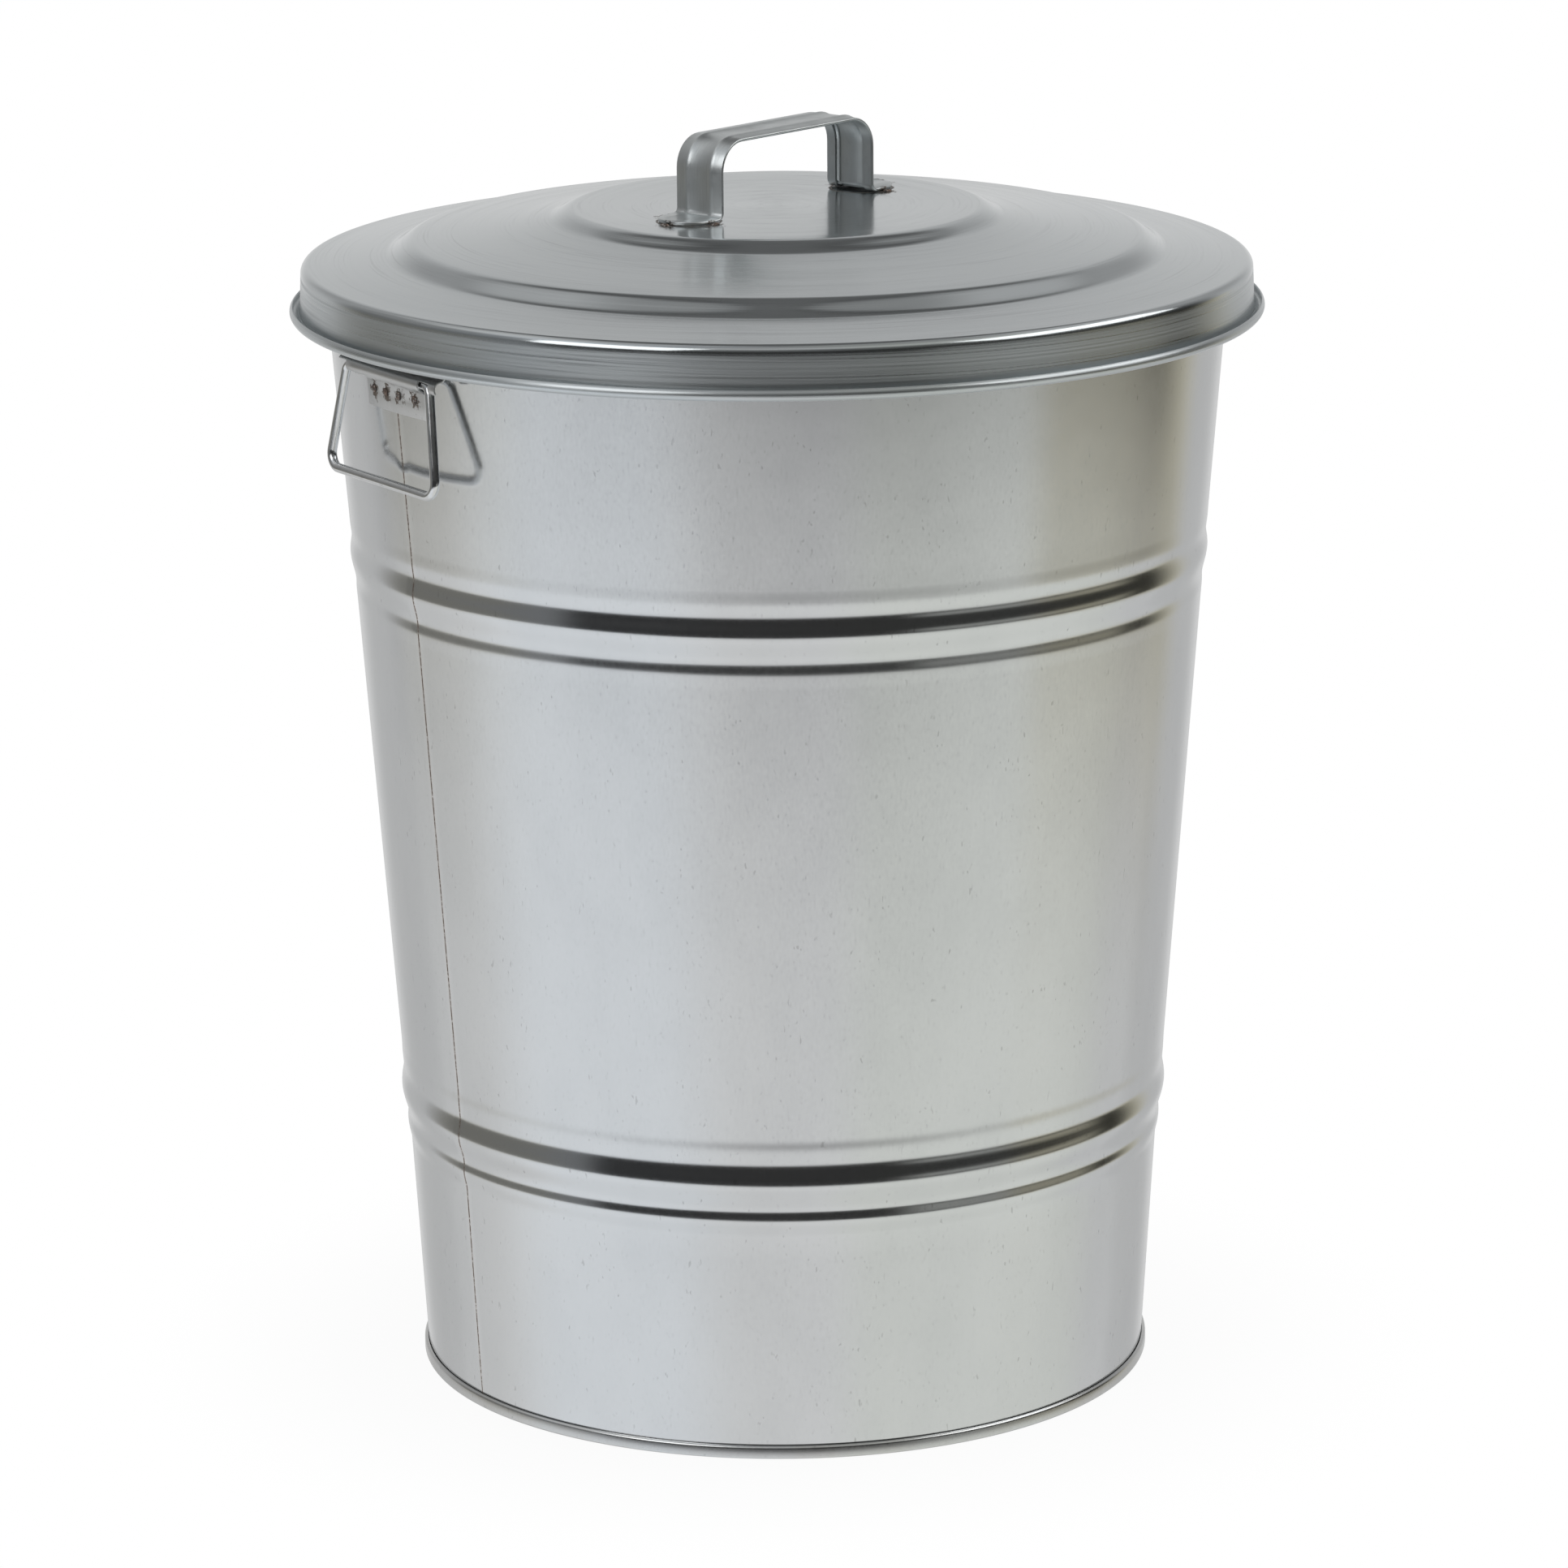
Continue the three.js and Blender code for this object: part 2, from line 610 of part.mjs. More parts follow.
function side(name, turn, seat) {
  const group = new THREE.Group();
  const hanging = named(`bail_${name}`, bailWire(), brightWire);
  hanging.position.set(pivotRadius, 0, pivotHeight);
  group.add(hanging, named(`bracket_${name}`, bracketSheet(seat), earSheet), ...bracketWelds(name, seat));
  group.rotation.z = turn;
  return group;
}

const lidGroup = new THREE.Group();
const handleGroup = new THREE.Group();
handleGroup.position.z = discHeight;
handleGroup.rotation.z = radians(lid.turn);
const handle = named('lid_handle', lidHandle(), brightStrap);
handle.position.z = seatGap;
handleGroup.add(handle, ...strapWelds());
lidGroup.add(named('lid_pan', lidPan(), spunLid), handleGroup);
lidGroup.position.z = lidHeight;

const trashCan = new THREE.Group();
trashCan.name = 'trash_can';
trashCan.add(
  named('body_shell', bodyShell(), galvanized),
  named('base_plate', basePlate(), galvanized),
  side('left', Math.PI, seatGap + seam.lift),
  side('right', 0, seatGap),
  lidGroup,
);

export default trashCan;
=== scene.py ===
"""A galvanized sheet-steel trash can with a loose stepped lid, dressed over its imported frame.

Metres, +Z up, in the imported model's own frame: the tub's axis is the Z axis, the foot stands on
z = 0, the tub's seam and its left ear are on -X, the right ear is on +X. Each sub-assembly is a
class that holds its sizes in mm, models its pieces with Blender's own tools and gives them their
finish. Finishes hold their sizes in metres, because they read them from the points of a piece.
"""

from __future__ import annotations

import logging
import math
from dataclasses import dataclass, field
from enum import Enum
from typing import Any, Callable, Iterable, Sequence

import bmesh
import bpy
from mathutils import Matrix, Vector

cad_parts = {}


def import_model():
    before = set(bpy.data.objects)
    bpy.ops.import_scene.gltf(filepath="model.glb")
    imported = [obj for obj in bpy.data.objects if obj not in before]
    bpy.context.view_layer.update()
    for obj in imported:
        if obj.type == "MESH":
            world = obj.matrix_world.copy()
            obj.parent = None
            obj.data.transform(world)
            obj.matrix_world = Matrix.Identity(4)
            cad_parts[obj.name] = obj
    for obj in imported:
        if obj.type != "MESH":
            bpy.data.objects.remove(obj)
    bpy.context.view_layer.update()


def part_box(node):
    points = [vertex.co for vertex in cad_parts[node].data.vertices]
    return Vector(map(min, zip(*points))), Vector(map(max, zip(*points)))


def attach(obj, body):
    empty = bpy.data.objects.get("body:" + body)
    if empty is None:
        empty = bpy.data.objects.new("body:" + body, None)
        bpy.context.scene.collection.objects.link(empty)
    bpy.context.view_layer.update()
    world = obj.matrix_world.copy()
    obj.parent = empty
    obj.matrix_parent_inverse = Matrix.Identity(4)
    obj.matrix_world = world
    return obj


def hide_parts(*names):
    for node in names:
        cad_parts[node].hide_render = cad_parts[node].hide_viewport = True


log = logging.getLogger("trash_can")

MM = 0.001
TURNED_STEPS = 240      # steps round the tub and the lid
SMOOTH_ANGLE = math.radians(40)
LUMP_SMOOTH_ANGLE = math.radians(70)
MERGE_DISTANCE = 0.004 * MM

Pair = tuple[float, float]
Place = tuple[float, float, float]
Colour = tuple[float, float, float]


class Side(Enum):
    """The two ends of the X axis; each has an ear and a drop handle."""

    LEFT = "left"
    RIGHT = "right"


class Pick(Enum):
    """What a selection picks: its list in a mesh and its select mode."""

    CORNERS = ("verts", "VERT")
    FACES = ("faces", "FACE")


class Slot(Enum):
    """The material slots' names, one held by each finish."""

    WALL = "galvanized_sheet"
    LID = "spun_lid"
    STRAP = "bright_strap"
    EAR = "ear_sheet"
    WIRE = "bright_wire"
    WELD = "burnt_weld"


# ---------------------------------------------------------------- shader sockets as numbers


class Field:
    """A shader value that takes Python's arithmetic and adds the Math nodes for it."""

    def __init__(self, net: Net, socket: bpy.types.NodeSocket) -> None:
        """Wraps `socket`, which belongs to `net`."""
        self.net = net
        self.socket = socket

    def _math(self, operation: str, *values: Field | float) -> Field:
        """Adds one Math node.

        Args:
            operation: the node's operation.
            values: its inputs, in order.

        Returns:
            The node's result.
        """
        node = self.net.node("ShaderNodeMath", {"operation": operation}, dict(enumerate(values)))
        return Field(self.net, node.outputs[0])

    def __add__(self, other: Field | float) -> Field:
        """self + other."""
        return self._math("ADD", self, other)

    __radd__ = __add__

    def __sub__(self, other: Field | float) -> Field:
        """self - other."""
        return self._math("SUBTRACT", self, other)

    def __rsub__(self, other: Field | float) -> Field:
        """other - self."""
        return self._math("SUBTRACT", other, self)

    def __mul__(self, other: Field | float) -> Field:
        """self * other."""
        return self._math("MULTIPLY", self, other)

    __rmul__ = __mul__

    def __truediv__(self, other: Field | float) -> Field:
        """self / other."""
        return self._math("DIVIDE", self, other)

    def __abs__(self) -> Field:
        """The value without its sign."""
        return self._math("ABSOLUTE", self)

    def root(self) -> Field:
        """The square root."""
        return self._math("SQRT", self)

    def at_most(self, other: Field | float) -> Field:
        """The smaller of two."""
        return self._math("MINIMUM", self, other)

    def at_least(self, other: Field | float) -> Field:
        """The larger of two."""
        return self._math("MAXIMUM", self, other)

    def bearing(self, ahead: Field) -> Field:
        """The angle in degrees from straight ahead, where this is how far aside."""
        return self._math("ARCTAN2", self, ahead) * math.degrees(1.0)

    def rises(self, low: float, high: float) -> Field:
        """Eases from one level to the other.

        Args:
            low: where the result is 0.
            high: where it is 1; below `low`, the result falls as the value grows.

        Returns:
            The eased share.
        """
        flip = low > high
        node = self.net.node(
            "ShaderNodeMapRange",
            {"interpolation_type": "SMOOTHSTEP", "clamp": True},
            {"Value": self, "From Min": min(low, high), "From Max": max(low, high),
             "To Min": 1.0 if flip else 0.0, "To Max": 0.0 if flip else 1.0},
        )
        return Field(self.net, node.outputs["Result"])

    def between(self, low: float, high: float, edge: float) -> Field:
        """1 between `low` and `high`, fading to 0 over `edge` outside them."""
        return self.rises(low - edge, low) * self.rises(high + edge, high)


class Net:
    """The nodes of one material or of the world."""

    def __init__(self, tree: bpy.types.NodeTree) -> None:
        """Empties `tree` and gets ready to fill it."""
        self.tree = tree
        tree.nodes.clear()

    def node(self, kind: str, settings: dict[str, Any] | None = None,
             inputs: dict[Any, Any] | None = None) -> bpy.types.Node:
        """Adds one node.

        Args:
            kind: the node's type.
            settings: its properties, set before its sockets.
            inputs: a value, a socket or a Field for each of its sockets.

        Returns:
            The node.
        """
        node = self.tree.nodes.new(kind)
        for name, value in (settings or {}).items():
            setattr(node, name, value)
        for name, value in (inputs or {}).items():
            source = value.socket if isinstance(value, Field) else value
            if isinstance(source, bpy.types.NodeSocket):
                self.tree.links.new(source, node.inputs[name])
            else:
                node.inputs[name].default_value = source
        return node

    def place(self, scale: Sequence[float] = (1, 1, 1)) -> bpy.types.NodeSocket:
        """Where the point is on its piece.

        Args:
            scale: what each coordinate is multiplied by.

        Returns:
            The coordinates, in metres before they are scaled.
        """
        where = self.node("ShaderNodeTexCoord").outputs["Object"]
        if tuple(scale) == (1, 1, 1):
            return where
        return self.node("ShaderNodeMapping", inputs={"Vector": where, "Scale": scale}).outputs[0]

    def axes(self, vector: bpy.types.NodeSocket) -> tuple[Field, Field, Field]:
        """The x, y and z of a vector."""
        split = self.node("ShaderNodeSeparateXYZ", inputs={0: vector})
        return tuple(Field(self, split.outputs[i]) for i in range(3))

    def vector(self, x: Field | float, y: Field | float, z: Field | float) -> bpy.types.NodeSocket:
        """A vector from its x, y and z."""
        return self.node("ShaderNodeCombineXYZ", inputs={0: x, 1: y, 2: z}).outputs[0]

    def distance(self, vector: bpy.types.NodeSocket, place: Place) -> Field:
        """How far a vector's tip lies from `place`."""
        node = self.node("ShaderNodeVectorMath", {"operation": "DISTANCE"}, {0: vector, 1: place})
        return Field(self, node.outputs["Value"])

    def noise(self, vector: bpy.types.NodeSocket, scale: float, detail: float = 2.0,
              roughness: float = 0.6) -> Field:
        """Noise about 0.5.

        Args:
            vector: where it is read.
            scale: lumps per unit of `vector`.
            detail: octaves.
            roughness: how strong the finer octaves are.

        Returns:
            The noise.
        """
        node = self.node("ShaderNodeTexNoise", inputs={
            "Vector": vector, "Scale": scale, "Detail": detail, "Roughness": roughness})
        return Field(self, node.outputs["Fac"])

    def blend(self, share: Field | float, first: Any, second: Any) -> bpy.types.NodeSocket:
        """Mixes two colours.

        Args:
            share: 0 for the first one, 1 for the second.
            first: a colour or a socket.
            second: a colour or a socket.

        Returns:
            The mixed colour.
        """
        first, second = ((*one, 1.0) if isinstance(one, tuple) else one for one in (first, second))
        node = self.node("ShaderNodeMix", {"data_type": "RGBA"}, {"Factor": share, 6: first, 7: second})
        return node.outputs[2]

    def bump(self, height: Field, distance: float) -> bpy.types.NodeSocket:
        """The normal of a surface that `height` raises by up to `distance` metres."""
        return self.node("ShaderNodeBump", inputs={"Height": height, "Distance": distance}).outputs[0]

    def surface(self, **inputs: Any) -> None:
        """Finishes the material with one Principled shader with these sockets."""
        shader = self.node("ShaderNodeBsdfPrincipled", inputs=inputs)
        self.node("ShaderNodeOutputMaterial", inputs={"Surface": shader.outputs[0]})


# ---------------------------------------------------------------- finishes


@dataclass(frozen=True)
class BurntSpots:
    """Heat marks that welding leaves: ragged spots by the welds, and ragged lines on round edges."""

    places: tuple[Place, ...] = ()
    radius: float = 3.2 * MM
    border: Pair = (1.05, 0.55)     # in radii: where a spot begins, and where it is fully burnt
    upright: float = 1.0            # below 1, the spots are taller than they are wide
    stray: float = 4.2              # how ragged a spot's border is
    edges: tuple[Place, ...] = ()       # the middles of round burnt edges
    edge_radius: float = 12.9 * MM
    edge_width: float = 0.9 * MM
    edge_border: Pair = (1.0, 0.3)
    edge_stray: float = 2.0
    colour: Colour = (0.10, 0.075, 0.055)
    cover: float = 0.92
    roughening: float = 0.4
    dulling: float = 0.5

    def mask(self, net: Net) -> Field:
        """How burnt a point is.

        Args:
            net: the material's nodes.

        Returns:
            A share from 0 to 1.
        """
        ragged = net.noise(net.place(), 420, 3, 0.7) - 0.5
        stretched = net.place((1.0, 1.0, self.upright))
        marks = []
        for x, y, z in self.places:
            out = net.distance(stretched, (x, y, z * self.upright)) / self.radius
            marks.append((out + ragged * self.stray).rises(*self.border))
        for middle in self.edges:
            off = abs(net.distance(net.place(), middle) - self.edge_radius) / self.edge_width
            marks.append((off + ragged * self.edge_stray).rises(*self.edge_border))
        burnt = marks[0]
        for mark in marks[1:]:
            burnt = burnt.at_least(mark)
        return burnt

    def scorch(self, net: Net, colour: bpy.types.NodeSocket,
               roughness: Field) -> tuple[bpy.types.NodeSocket, Field, Field | float]:
        """Burns a bright finish at the spots.

        Args:
            net: the material's nodes.
            colour: the sheet's colour.
            roughness: its roughness.

        Returns:
            Its colour, its roughness and how metallic it is.
        """
        if not self.places:
            return colour, roughness, 1.0
        burnt = self.mask(net)
        return (net.blend(burnt * self.cover, colour, self.colour),
                roughness + burnt * self.roughening, 1.0 - burnt * self.dulling)


@dataclass(frozen=True)
class Finish:
    """A procedural finish; each kind fills in the nodes of its own material."""

    slot: Slot

    def dress(self, net: Net) -> None:
        """Adds the finish's nodes to `net`."""
        raise NotImplementedError

    def material(self, name: str) -> bpy.types.Material:
        """Makes a material with this finish.

        Args:
            name: the material's name.

        Returns:
            The material.
        """
        made = bpy.data.materials.new(name)
        made.use_nodes = True
        self.dress(Net(made.node_tree))
        return made


@dataclass(frozen=True)
class GalvanizedSheet(Finish):
    """Rolled sheet with a thin zinc coat: satin, faintly clouded, with fine dark pin marks."""

    slot: Slot = Slot.WALL
    colour: Colour = (0.715, 0.728, 0.735)
    cloud: Colour = (0.69, 0.704, 0.712)
    speck: Colour = (0.40, 0.405, 0.40)
    roughness: float = 0.16
    relief: float = 0.16 * MM
    cloud_scale: float = 26         # lumps per metre
    patch_scale: float = 60
    pin_scale: float = 640
    grain_scale: float = 900
    seam: float | None = None       # the slope y / x at which the seam's free edge is seen
    seam_reach: float = 185 * MM    # the wall's radius, which makes that slope a length
    seam_shadow_border: Pair = (0.50 * MM, 0.12 * MM)      # where the painted shadow line begins, and where it is full
    # painted shadow: the dark brown of the shadow under the lap's free edge
    seam_shadow_colour: Colour = (0.17, 0.115, 0.085)
    haze_border: Pair = (1.6 * MM, 0.4 * MM)
    haze_colour: Colour = (0.62, 0.56, 0.50)
    spots: BurntSpots = BurntSpots()

    def dress(self, net: Net) -> None:
        """Adds the zinc's clouds, grain and pin marks, the painted shadow line along the seam and the burnt
        spots.

        Args:
            net: the material's nodes.
        """
        clouds = net.noise(net.place((1, 1, 0.6)), self.cloud_scale, 4)
        grain = net.noise(net.place((1, 1, 0.45)), self.grain_scale)
        pins = net.noise(net.place((1, 1, 0.42)), self.pin_scale, 1, 0.5).rises(0.69, 0.76)
        patches = net.noise(net.place(), self.patch_scale, 2, 0.5).rises(0.42, 0.62)
        colour = net.blend(clouds.rises(0.35, 0.7), self.colour, self.cloud)
        colour = net.blend(grain.rises(0.62, 0.85) * 0.28, colour, self.speck)
        colour = net.blend(pins * patches * 0.45, colour, self.speck)
        roughness = self.roughness + (grain - 0.5) * 0.08 + (clouds - 0.5) * 0.03
        # paints a shadow line under the seam's free edge
        if self.seam is not None:
            colour, roughness = self.seam_shadow_line(net, colour, roughness)
        colour, roughness, metallic = self.spots.scorch(net, colour, roughness)
        waves = net.noise(net.place(), 40, 1, 0.5) * 0.16
        net.surface(**{
            "Base Color": colour, "Metallic": metallic, "Roughness": roughness,
            "Normal": net.bump(waves + grain * 0.006, self.relief)})

    def seam_shadow_line(self, net: Net, colour: bpy.types.NodeSocket,
                  roughness: Field) -> tuple[bpy.types.NodeSocket, Field]:
        """Paints a thin brown shadow line under the seam's free edge, with a faint haze beside it.

        Args:
            net: the material's nodes.
            colour: the sheet's colour.
            roughness: its roughness.

        Returns:
            The colour and the roughness with the painted shadow line.
        """
        x, y, _ = net.axes(net.place())
        broken = net.noise(net.place(), 700, 2, 0.7).rises(0.28, 0.55)
        off = abs(y / x - self.seam) * self.seam_reach
        this_side = x.rises(0, -0.01)
        # painted shadow: a broken dark line under the lap's free edge
        line = off.rises(*self.seam_shadow_border) * this_side * broken
        haze = off.rises(*self.haze_border) * this_side
        colour = net.blend(haze * 0.30, colour, self.haze_colour)
        return net.blend(line * 0.9, colour, self.seam_shadow_colour), roughness + line * 0.4


@dataclass(frozen=True)
class SpunSheet(Finish):
    """The lid's sheet: the forming tool has left fine rings round the axis."""

    slot: Slot = Slot.LID
    colour: Colour = (0.605, 0.637, 0.648)
    groove: Colour = (0.41, 0.43, 0.44)
    roughness: float = 0.16
    fine_pitch: float = 0.9 * MM
    fine_wander: float = 2.2        # how much the rings change along one turn
    coarse_pitch: float = 5 * MM
    coarse_wander: float = 1.3
    grain_scale: float = 800        # lumps per metre
    relief: float = 0.04 * MM
    skirt_top: float = 0.475
    skirt_roughness: float = 0.34
    anisotropy: float = 0.65
    spots: BurntSpots = BurntSpots()

    def dress(self, net: Net) -> None:
        """Adds the rings, a fine grain, the rougher skirt and the burnt spots.

        Args:
            net: the material's nodes.
        """
        fine = net.noise(self.rings(net, self.fine_pitch, self.fine_wander), 1.0)
        coarse = net.noise(self.rings(net, self.coarse_pitch, self.coarse_wander), 1.0)
        grain = net.noise(net.place(), self.grain_scale)
        groove = fine.rises(0.5, 0.78) * coarse.rises(0.4, 0.62)
        colour = net.blend(groove * 0.5, self.colour, self.groove)
        colour = net.blend(grain.rises(0.6, 0.85) * 0.15, colour, self.groove)
        z = net.axes(net.place())[2]
        skirt = z.rises(self.skirt_top + 0.5 * MM, self.skirt_top - 1.5 * MM)
        roughness = self.roughness + (coarse - 0.5) * 0.12 + (fine - 0.5) * 0.08
        roughness = roughness + skirt * (self.skirt_roughness - self.roughness + (fine - 0.5) * 0.45)
        colour, roughness, metallic = self.spots.scorch(net, colour, roughness)
        net.surface(**{
            "Base Color": colour, "Metallic": metallic, "Roughness": roughness,
            "Anisotropic": self.anisotropy, "Anisotropic Rotation": 0.25,
            "Normal": net.bump(fine * 0.5 + coarse * 0.9, self.relief)})

    def rings(self, net: Net, pitch: float, wander: float) -> bpy.types.NodeSocket:
        """Coordinates that run fast across the rings and slowly along them.

        Args:
            net: the material's nodes.
            pitch: the rings' pitch in metres.
            wander: how much the rings change along one turn.

        Returns:
            The coordinates.
        """
        x, y, z = net.axes(net.place())
        radius = (x * x + y * y).root().at_least(1 * MM)
        return net.vector(radius * (1 / pitch), z * (1 / pitch) + x / radius * wander, y / radius * wander)


@dataclass(frozen=True)
class BrightMetal(Finish):
    """Zinc-plated wire or strap: glossy, with fine draw marks along it and a little dirt."""

    colour: Colour
    dull: Colour
    roughness: float
    stretch: tuple[float, float, float] = (1.0, 1.0, 1.0)
    turn: float = 0.0
    draw_scale: float = 1500        # marks per metre across the drawing
    smudge_scale: float = 130
    relief: float = 0.02 * MM
    spots: BurntSpots = BurntSpots()

    def dress(self, net: Net) -> None:
        """Adds the draw marks, the smudges and the burnt spots.

        Args:
            net: the material's nodes.
        """
        along = net.node("ShaderNodeMapping", inputs={
            "Vector": net.place(), "Rotation": (0, 0, -self.turn), "Scale": self.stretch}).outputs[0]
        draw = net.noise(along, self.draw_scale)
        smudge = net.noise(net.place(), self.smudge_scale, 3)
        colour = net.blend(draw.rises(0.5, 0.8) * 0.5, self.colour, self.dull)
        colour = net.blend(smudge.rises(0.55, 0.75) * 0.35, colour, self.dull)
        roughness = self.roughness + (smudge - 0.4).at_least(0.0) * 0.35 + (draw - 0.5) * 0.06
        colour, roughness, metallic = self.spots.scorch(net, colour, roughness)
        net.surface(**{
            "Base Color": colour, "Metallic": metallic, "Roughness": roughness,
            "Normal": net.bump(draw + smudge, self.relief)})


@dataclass(frozen=True)
class BurntMetal(Finish):
    """Weld metal: scorched, rough, with bright flecks of steel."""

    slot: Slot = Slot.WELD
    scorched: Colour = (0.070, 0.058, 0.052)
    rusty: Colour = (0.20, 0.13, 0.095)
    steel: Colour = (0.50, 0.49, 0.47)
    lump_scale: float = 700         # per metre
    fleck_scale: float = 1100
    relief: float = 0.35 * MM

    def dress(self, net: Net) -> None:
        """Adds the scorched lumps and the flecks.

        Args:
            net: the material's nodes.
        """
        lumps = net.noise(net.place(), self.lump_scale, 3)
        flecks = net.noise(net.place(), self.fleck_scale, 3).rises(0.54, 0.64)
        colour = net.blend(lumps.rises(0.4, 0.7), self.scorched, self.rusty)
        colour = net.blend(flecks * 0.7, colour, self.steel)
        net.surface(**{
            "Base Color": colour, "Metallic": 0.35 + flecks * 0.5,
            "Roughness": 0.68 - flecks * 0.3, "Normal": net.bump(lumps, self.relief)})


# ---------------------------------------------------------------- modelling


def nothing_selected() -> None:
    """Leaves edit mode and deselects every object."""
    if bpy.context.object is not None and bpy.context.object.mode != "OBJECT":
        bpy.ops.object.mode_set(mode="OBJECT")
    bpy.ops.object.select_all(action="DESELECT")


class Workpiece:
    """One new mesh on the bench, shaped in edit mode with Blender's own tools."""

    def __init__(self, name: str, start: Vector | None = None) -> None:
        """Starts a piece.

        Args:
            name: the piece's name.
            start: the first corner of a line that is drawn; without it, the caller adds a primitive.
        """
        nothing_selected()
        self.name = name
        if start is not None:
            bpy.ops.mesh.primitive_plane_add(size=1 * MM)
            self.take().everything()
            bpy.ops.mesh.merge(type="CENTER")
            bpy.ops.transform.translate(value=start)
            self.at = start.copy()

    def take(self) -> Workpiece:
        """Takes the primitive that was just added and opens it in edit mode.

        Returns:
            The piece.
        """
        self.obj = bpy.context.object
        self.obj.name = self.obj.data.name = self.name
        bpy.ops.object.mode_set(mode="EDIT")
        bpy.ops.mesh.select_mode(type="VERT")
        return self

    def pick(self, wanted: Callable[[Vector], bool], kind: Pick = Pick.CORNERS) -> None:
        """Selects by place.

        Args:
            wanted: says whether the corner, or the middle of the face, is wanted.
            kind: what is picked.
        """
        items, mode = kind.value
        bpy.ops.mesh.select_mode(type=mode)
        bpy.ops.mesh.select_all(action="DESELECT")
        mesh = bmesh.from_edit_mesh(self.obj.data)
        for item in getattr(mesh, items):
            corners = [item.co] if kind is Pick.CORNERS else [corner.co for corner in item.verts]
            if wanted(sum(corners, Vector()) / len(corners)):
                item.select_set(True)
        mesh.select_flush_mode()
        bmesh.update_edit_mesh(self.obj.data)

    def line(self, corners: Iterable[Vector]) -> Workpiece:
        """Draws on from the last corner.

        Args:
            corners: where the line goes, one after another.

        Returns:
            The piece.
        """
        for corner in corners:
            bpy.ops.mesh.extrude_vertices_move(TRANSFORM_OT_translate={"value": corner - self.at})
            self.at = corner.copy()
        return self

    def everything(self) -> Workpiece:
        """Selects the whole mesh."""
        bpy.ops.mesh.select_all(action="SELECT")
        return self

    def draw_out(self, by: Vector) -> Workpiece:
        """Extrudes the selected edges by `by`; the new edges are selected."""
        bpy.ops.mesh.extrude_region_move(TRANSFORM_OT_translate={"value": by})
        return self

    def bend(self, centre: Vector, axis: Vector, angle: float, steps: int) -> Workpiece:
        """Extrudes the selected edges round an axis; the last ones are selected."""
        bpy.ops.mesh.spin(steps=steps, angle=-angle, center=centre, axis=axis)
        return self

    def follow(self, corners: Sequence[Vector], radii: Sequence[float], steps: int) -> Workpiece:
        """Extrudes the selected section along a line with rounded corners.

        Args:
            corners: the line's corners, from where the section lies.
            radii: the bend at each inner corner.
            steps: steps in each bend.

        Returns:
            The piece.
        """
        at = corners[0]
        for i, radius in enumerate(radii, start=1):
            before = (corners[i] - corners[i - 1]).normalized()
            after = (corners[i + 1] - corners[i]).normalized()
            angle = before.angle(after)
            start = corners[i] - before * radius * math.tan(angle / 2)
            axis = before.cross(after).normalized()
            self.draw_out(start - at)
            self.bend(start + axis.cross(before) * radius, axis, angle, steps)
            at = corners[i] + after * radius * math.tan(angle / 2)
        return self.draw_out(corners[-1] - at)

    def faces_out(self) -> Workpiece:
        """Makes all faces of the mesh point outwards, or an open one's all one way.

        Returns:
            The piece.
        """
        self.everything()
        bpy.ops.mesh.normals_make_consistent(inside=False)
        return self

    def turn_round(self) -> Workpiece:
        """Turns the drawn line once round the Z axis and closes it.

        Returns:
            The piece.
        """
        self.everything()
        bpy.ops.mesh.spin(steps=TURNED_STEPS, angle=2 * math.pi, center=(0, 0, 0), axis=(0, 0, 1))
        self.everything()
        bpy.ops.mesh.remove_doubles(threshold=MERGE_DISTANCE)
        return self.faces_out()

    def faces_the(self, way: Callable[[Vector], Vector]) -> Workpiece:
        """Flips an open sheet if most of it faces the wrong way.

        Args:
            way: the way that it has to face at a place, or zero where it doesn't matter.

        Returns:
            The piece.
        """
        mesh = bmesh.from_edit_mesh(self.obj.data)
        share = sum(f.normal.dot(way(f.calc_center_median())) * f.calc_area() for f in mesh.faces)
        if share < 0:
            self.everything()
            bpy.ops.mesh.flip_normals()
        return self

    def alone(self) -> Workpiece:
        """Leaves edit mode with only this piece selected and active.

        Returns:
            The piece.
        """
        nothing_selected()
        bpy.context.view_layer.objects.active = self.obj
        self.obj.select_set(True)
        return self

    def reopen(self) -> Workpiece:
        """Goes back to edit mode with the whole mesh selected."""
        bpy.ops.object.mode_set(mode="EDIT")
        return self.everything()

    def half_turn(self) -> None:
        """Turns the piece, in edit mode, half round the Z axis."""
        self.everything()
        bpy.ops.transform.rotate(value=math.pi, orient_axis="Z", center_override=(0, 0, 0))

    def modify(self, kind: str, **settings: Any) -> Workpiece:
        """Adds one modifier and applies it.

        Args:
            kind: the modifier's type.
            settings: its properties.

        Returns:
            The piece.
        """
        self.alone()
        modifier = self.obj.modifiers.new(kind.title(), kind)
        for name, value in settings.items():
            setattr(modifier, name, value)
        bpy.ops.object.modifier_apply(modifier=modifier.name)
        return self

    def mirror(self, axis: int) -> Workpiece:
        """Adds the other half, beyond the plane across `axis`, and merges the two."""
        return self.modify("MIRROR", use_axis=[i == axis for i in range(3)], use_mirror_merge=True,
                           merge_threshold=0.01 * MM)

    def thicken(self, sheet: float) -> Workpiece:
        """Gives the sheet its thickness behind the skin that was drawn."""
        return self.modify("SOLIDIFY", thickness=sheet, offset=-1.0, use_even_offset=True,
                           use_rim=True, use_quality_normals=True)

    def soften(self, width: float, segments: int = 2, angle: float = 60) -> Workpiece:
        """Rounds the edges that are sharper than `angle` degrees."""
        return self.modify("BEVEL", width=width, segments=segments, limit_method="ANGLE",
                           angle_limit=math.radians(angle), use_clamp_overlap=True)

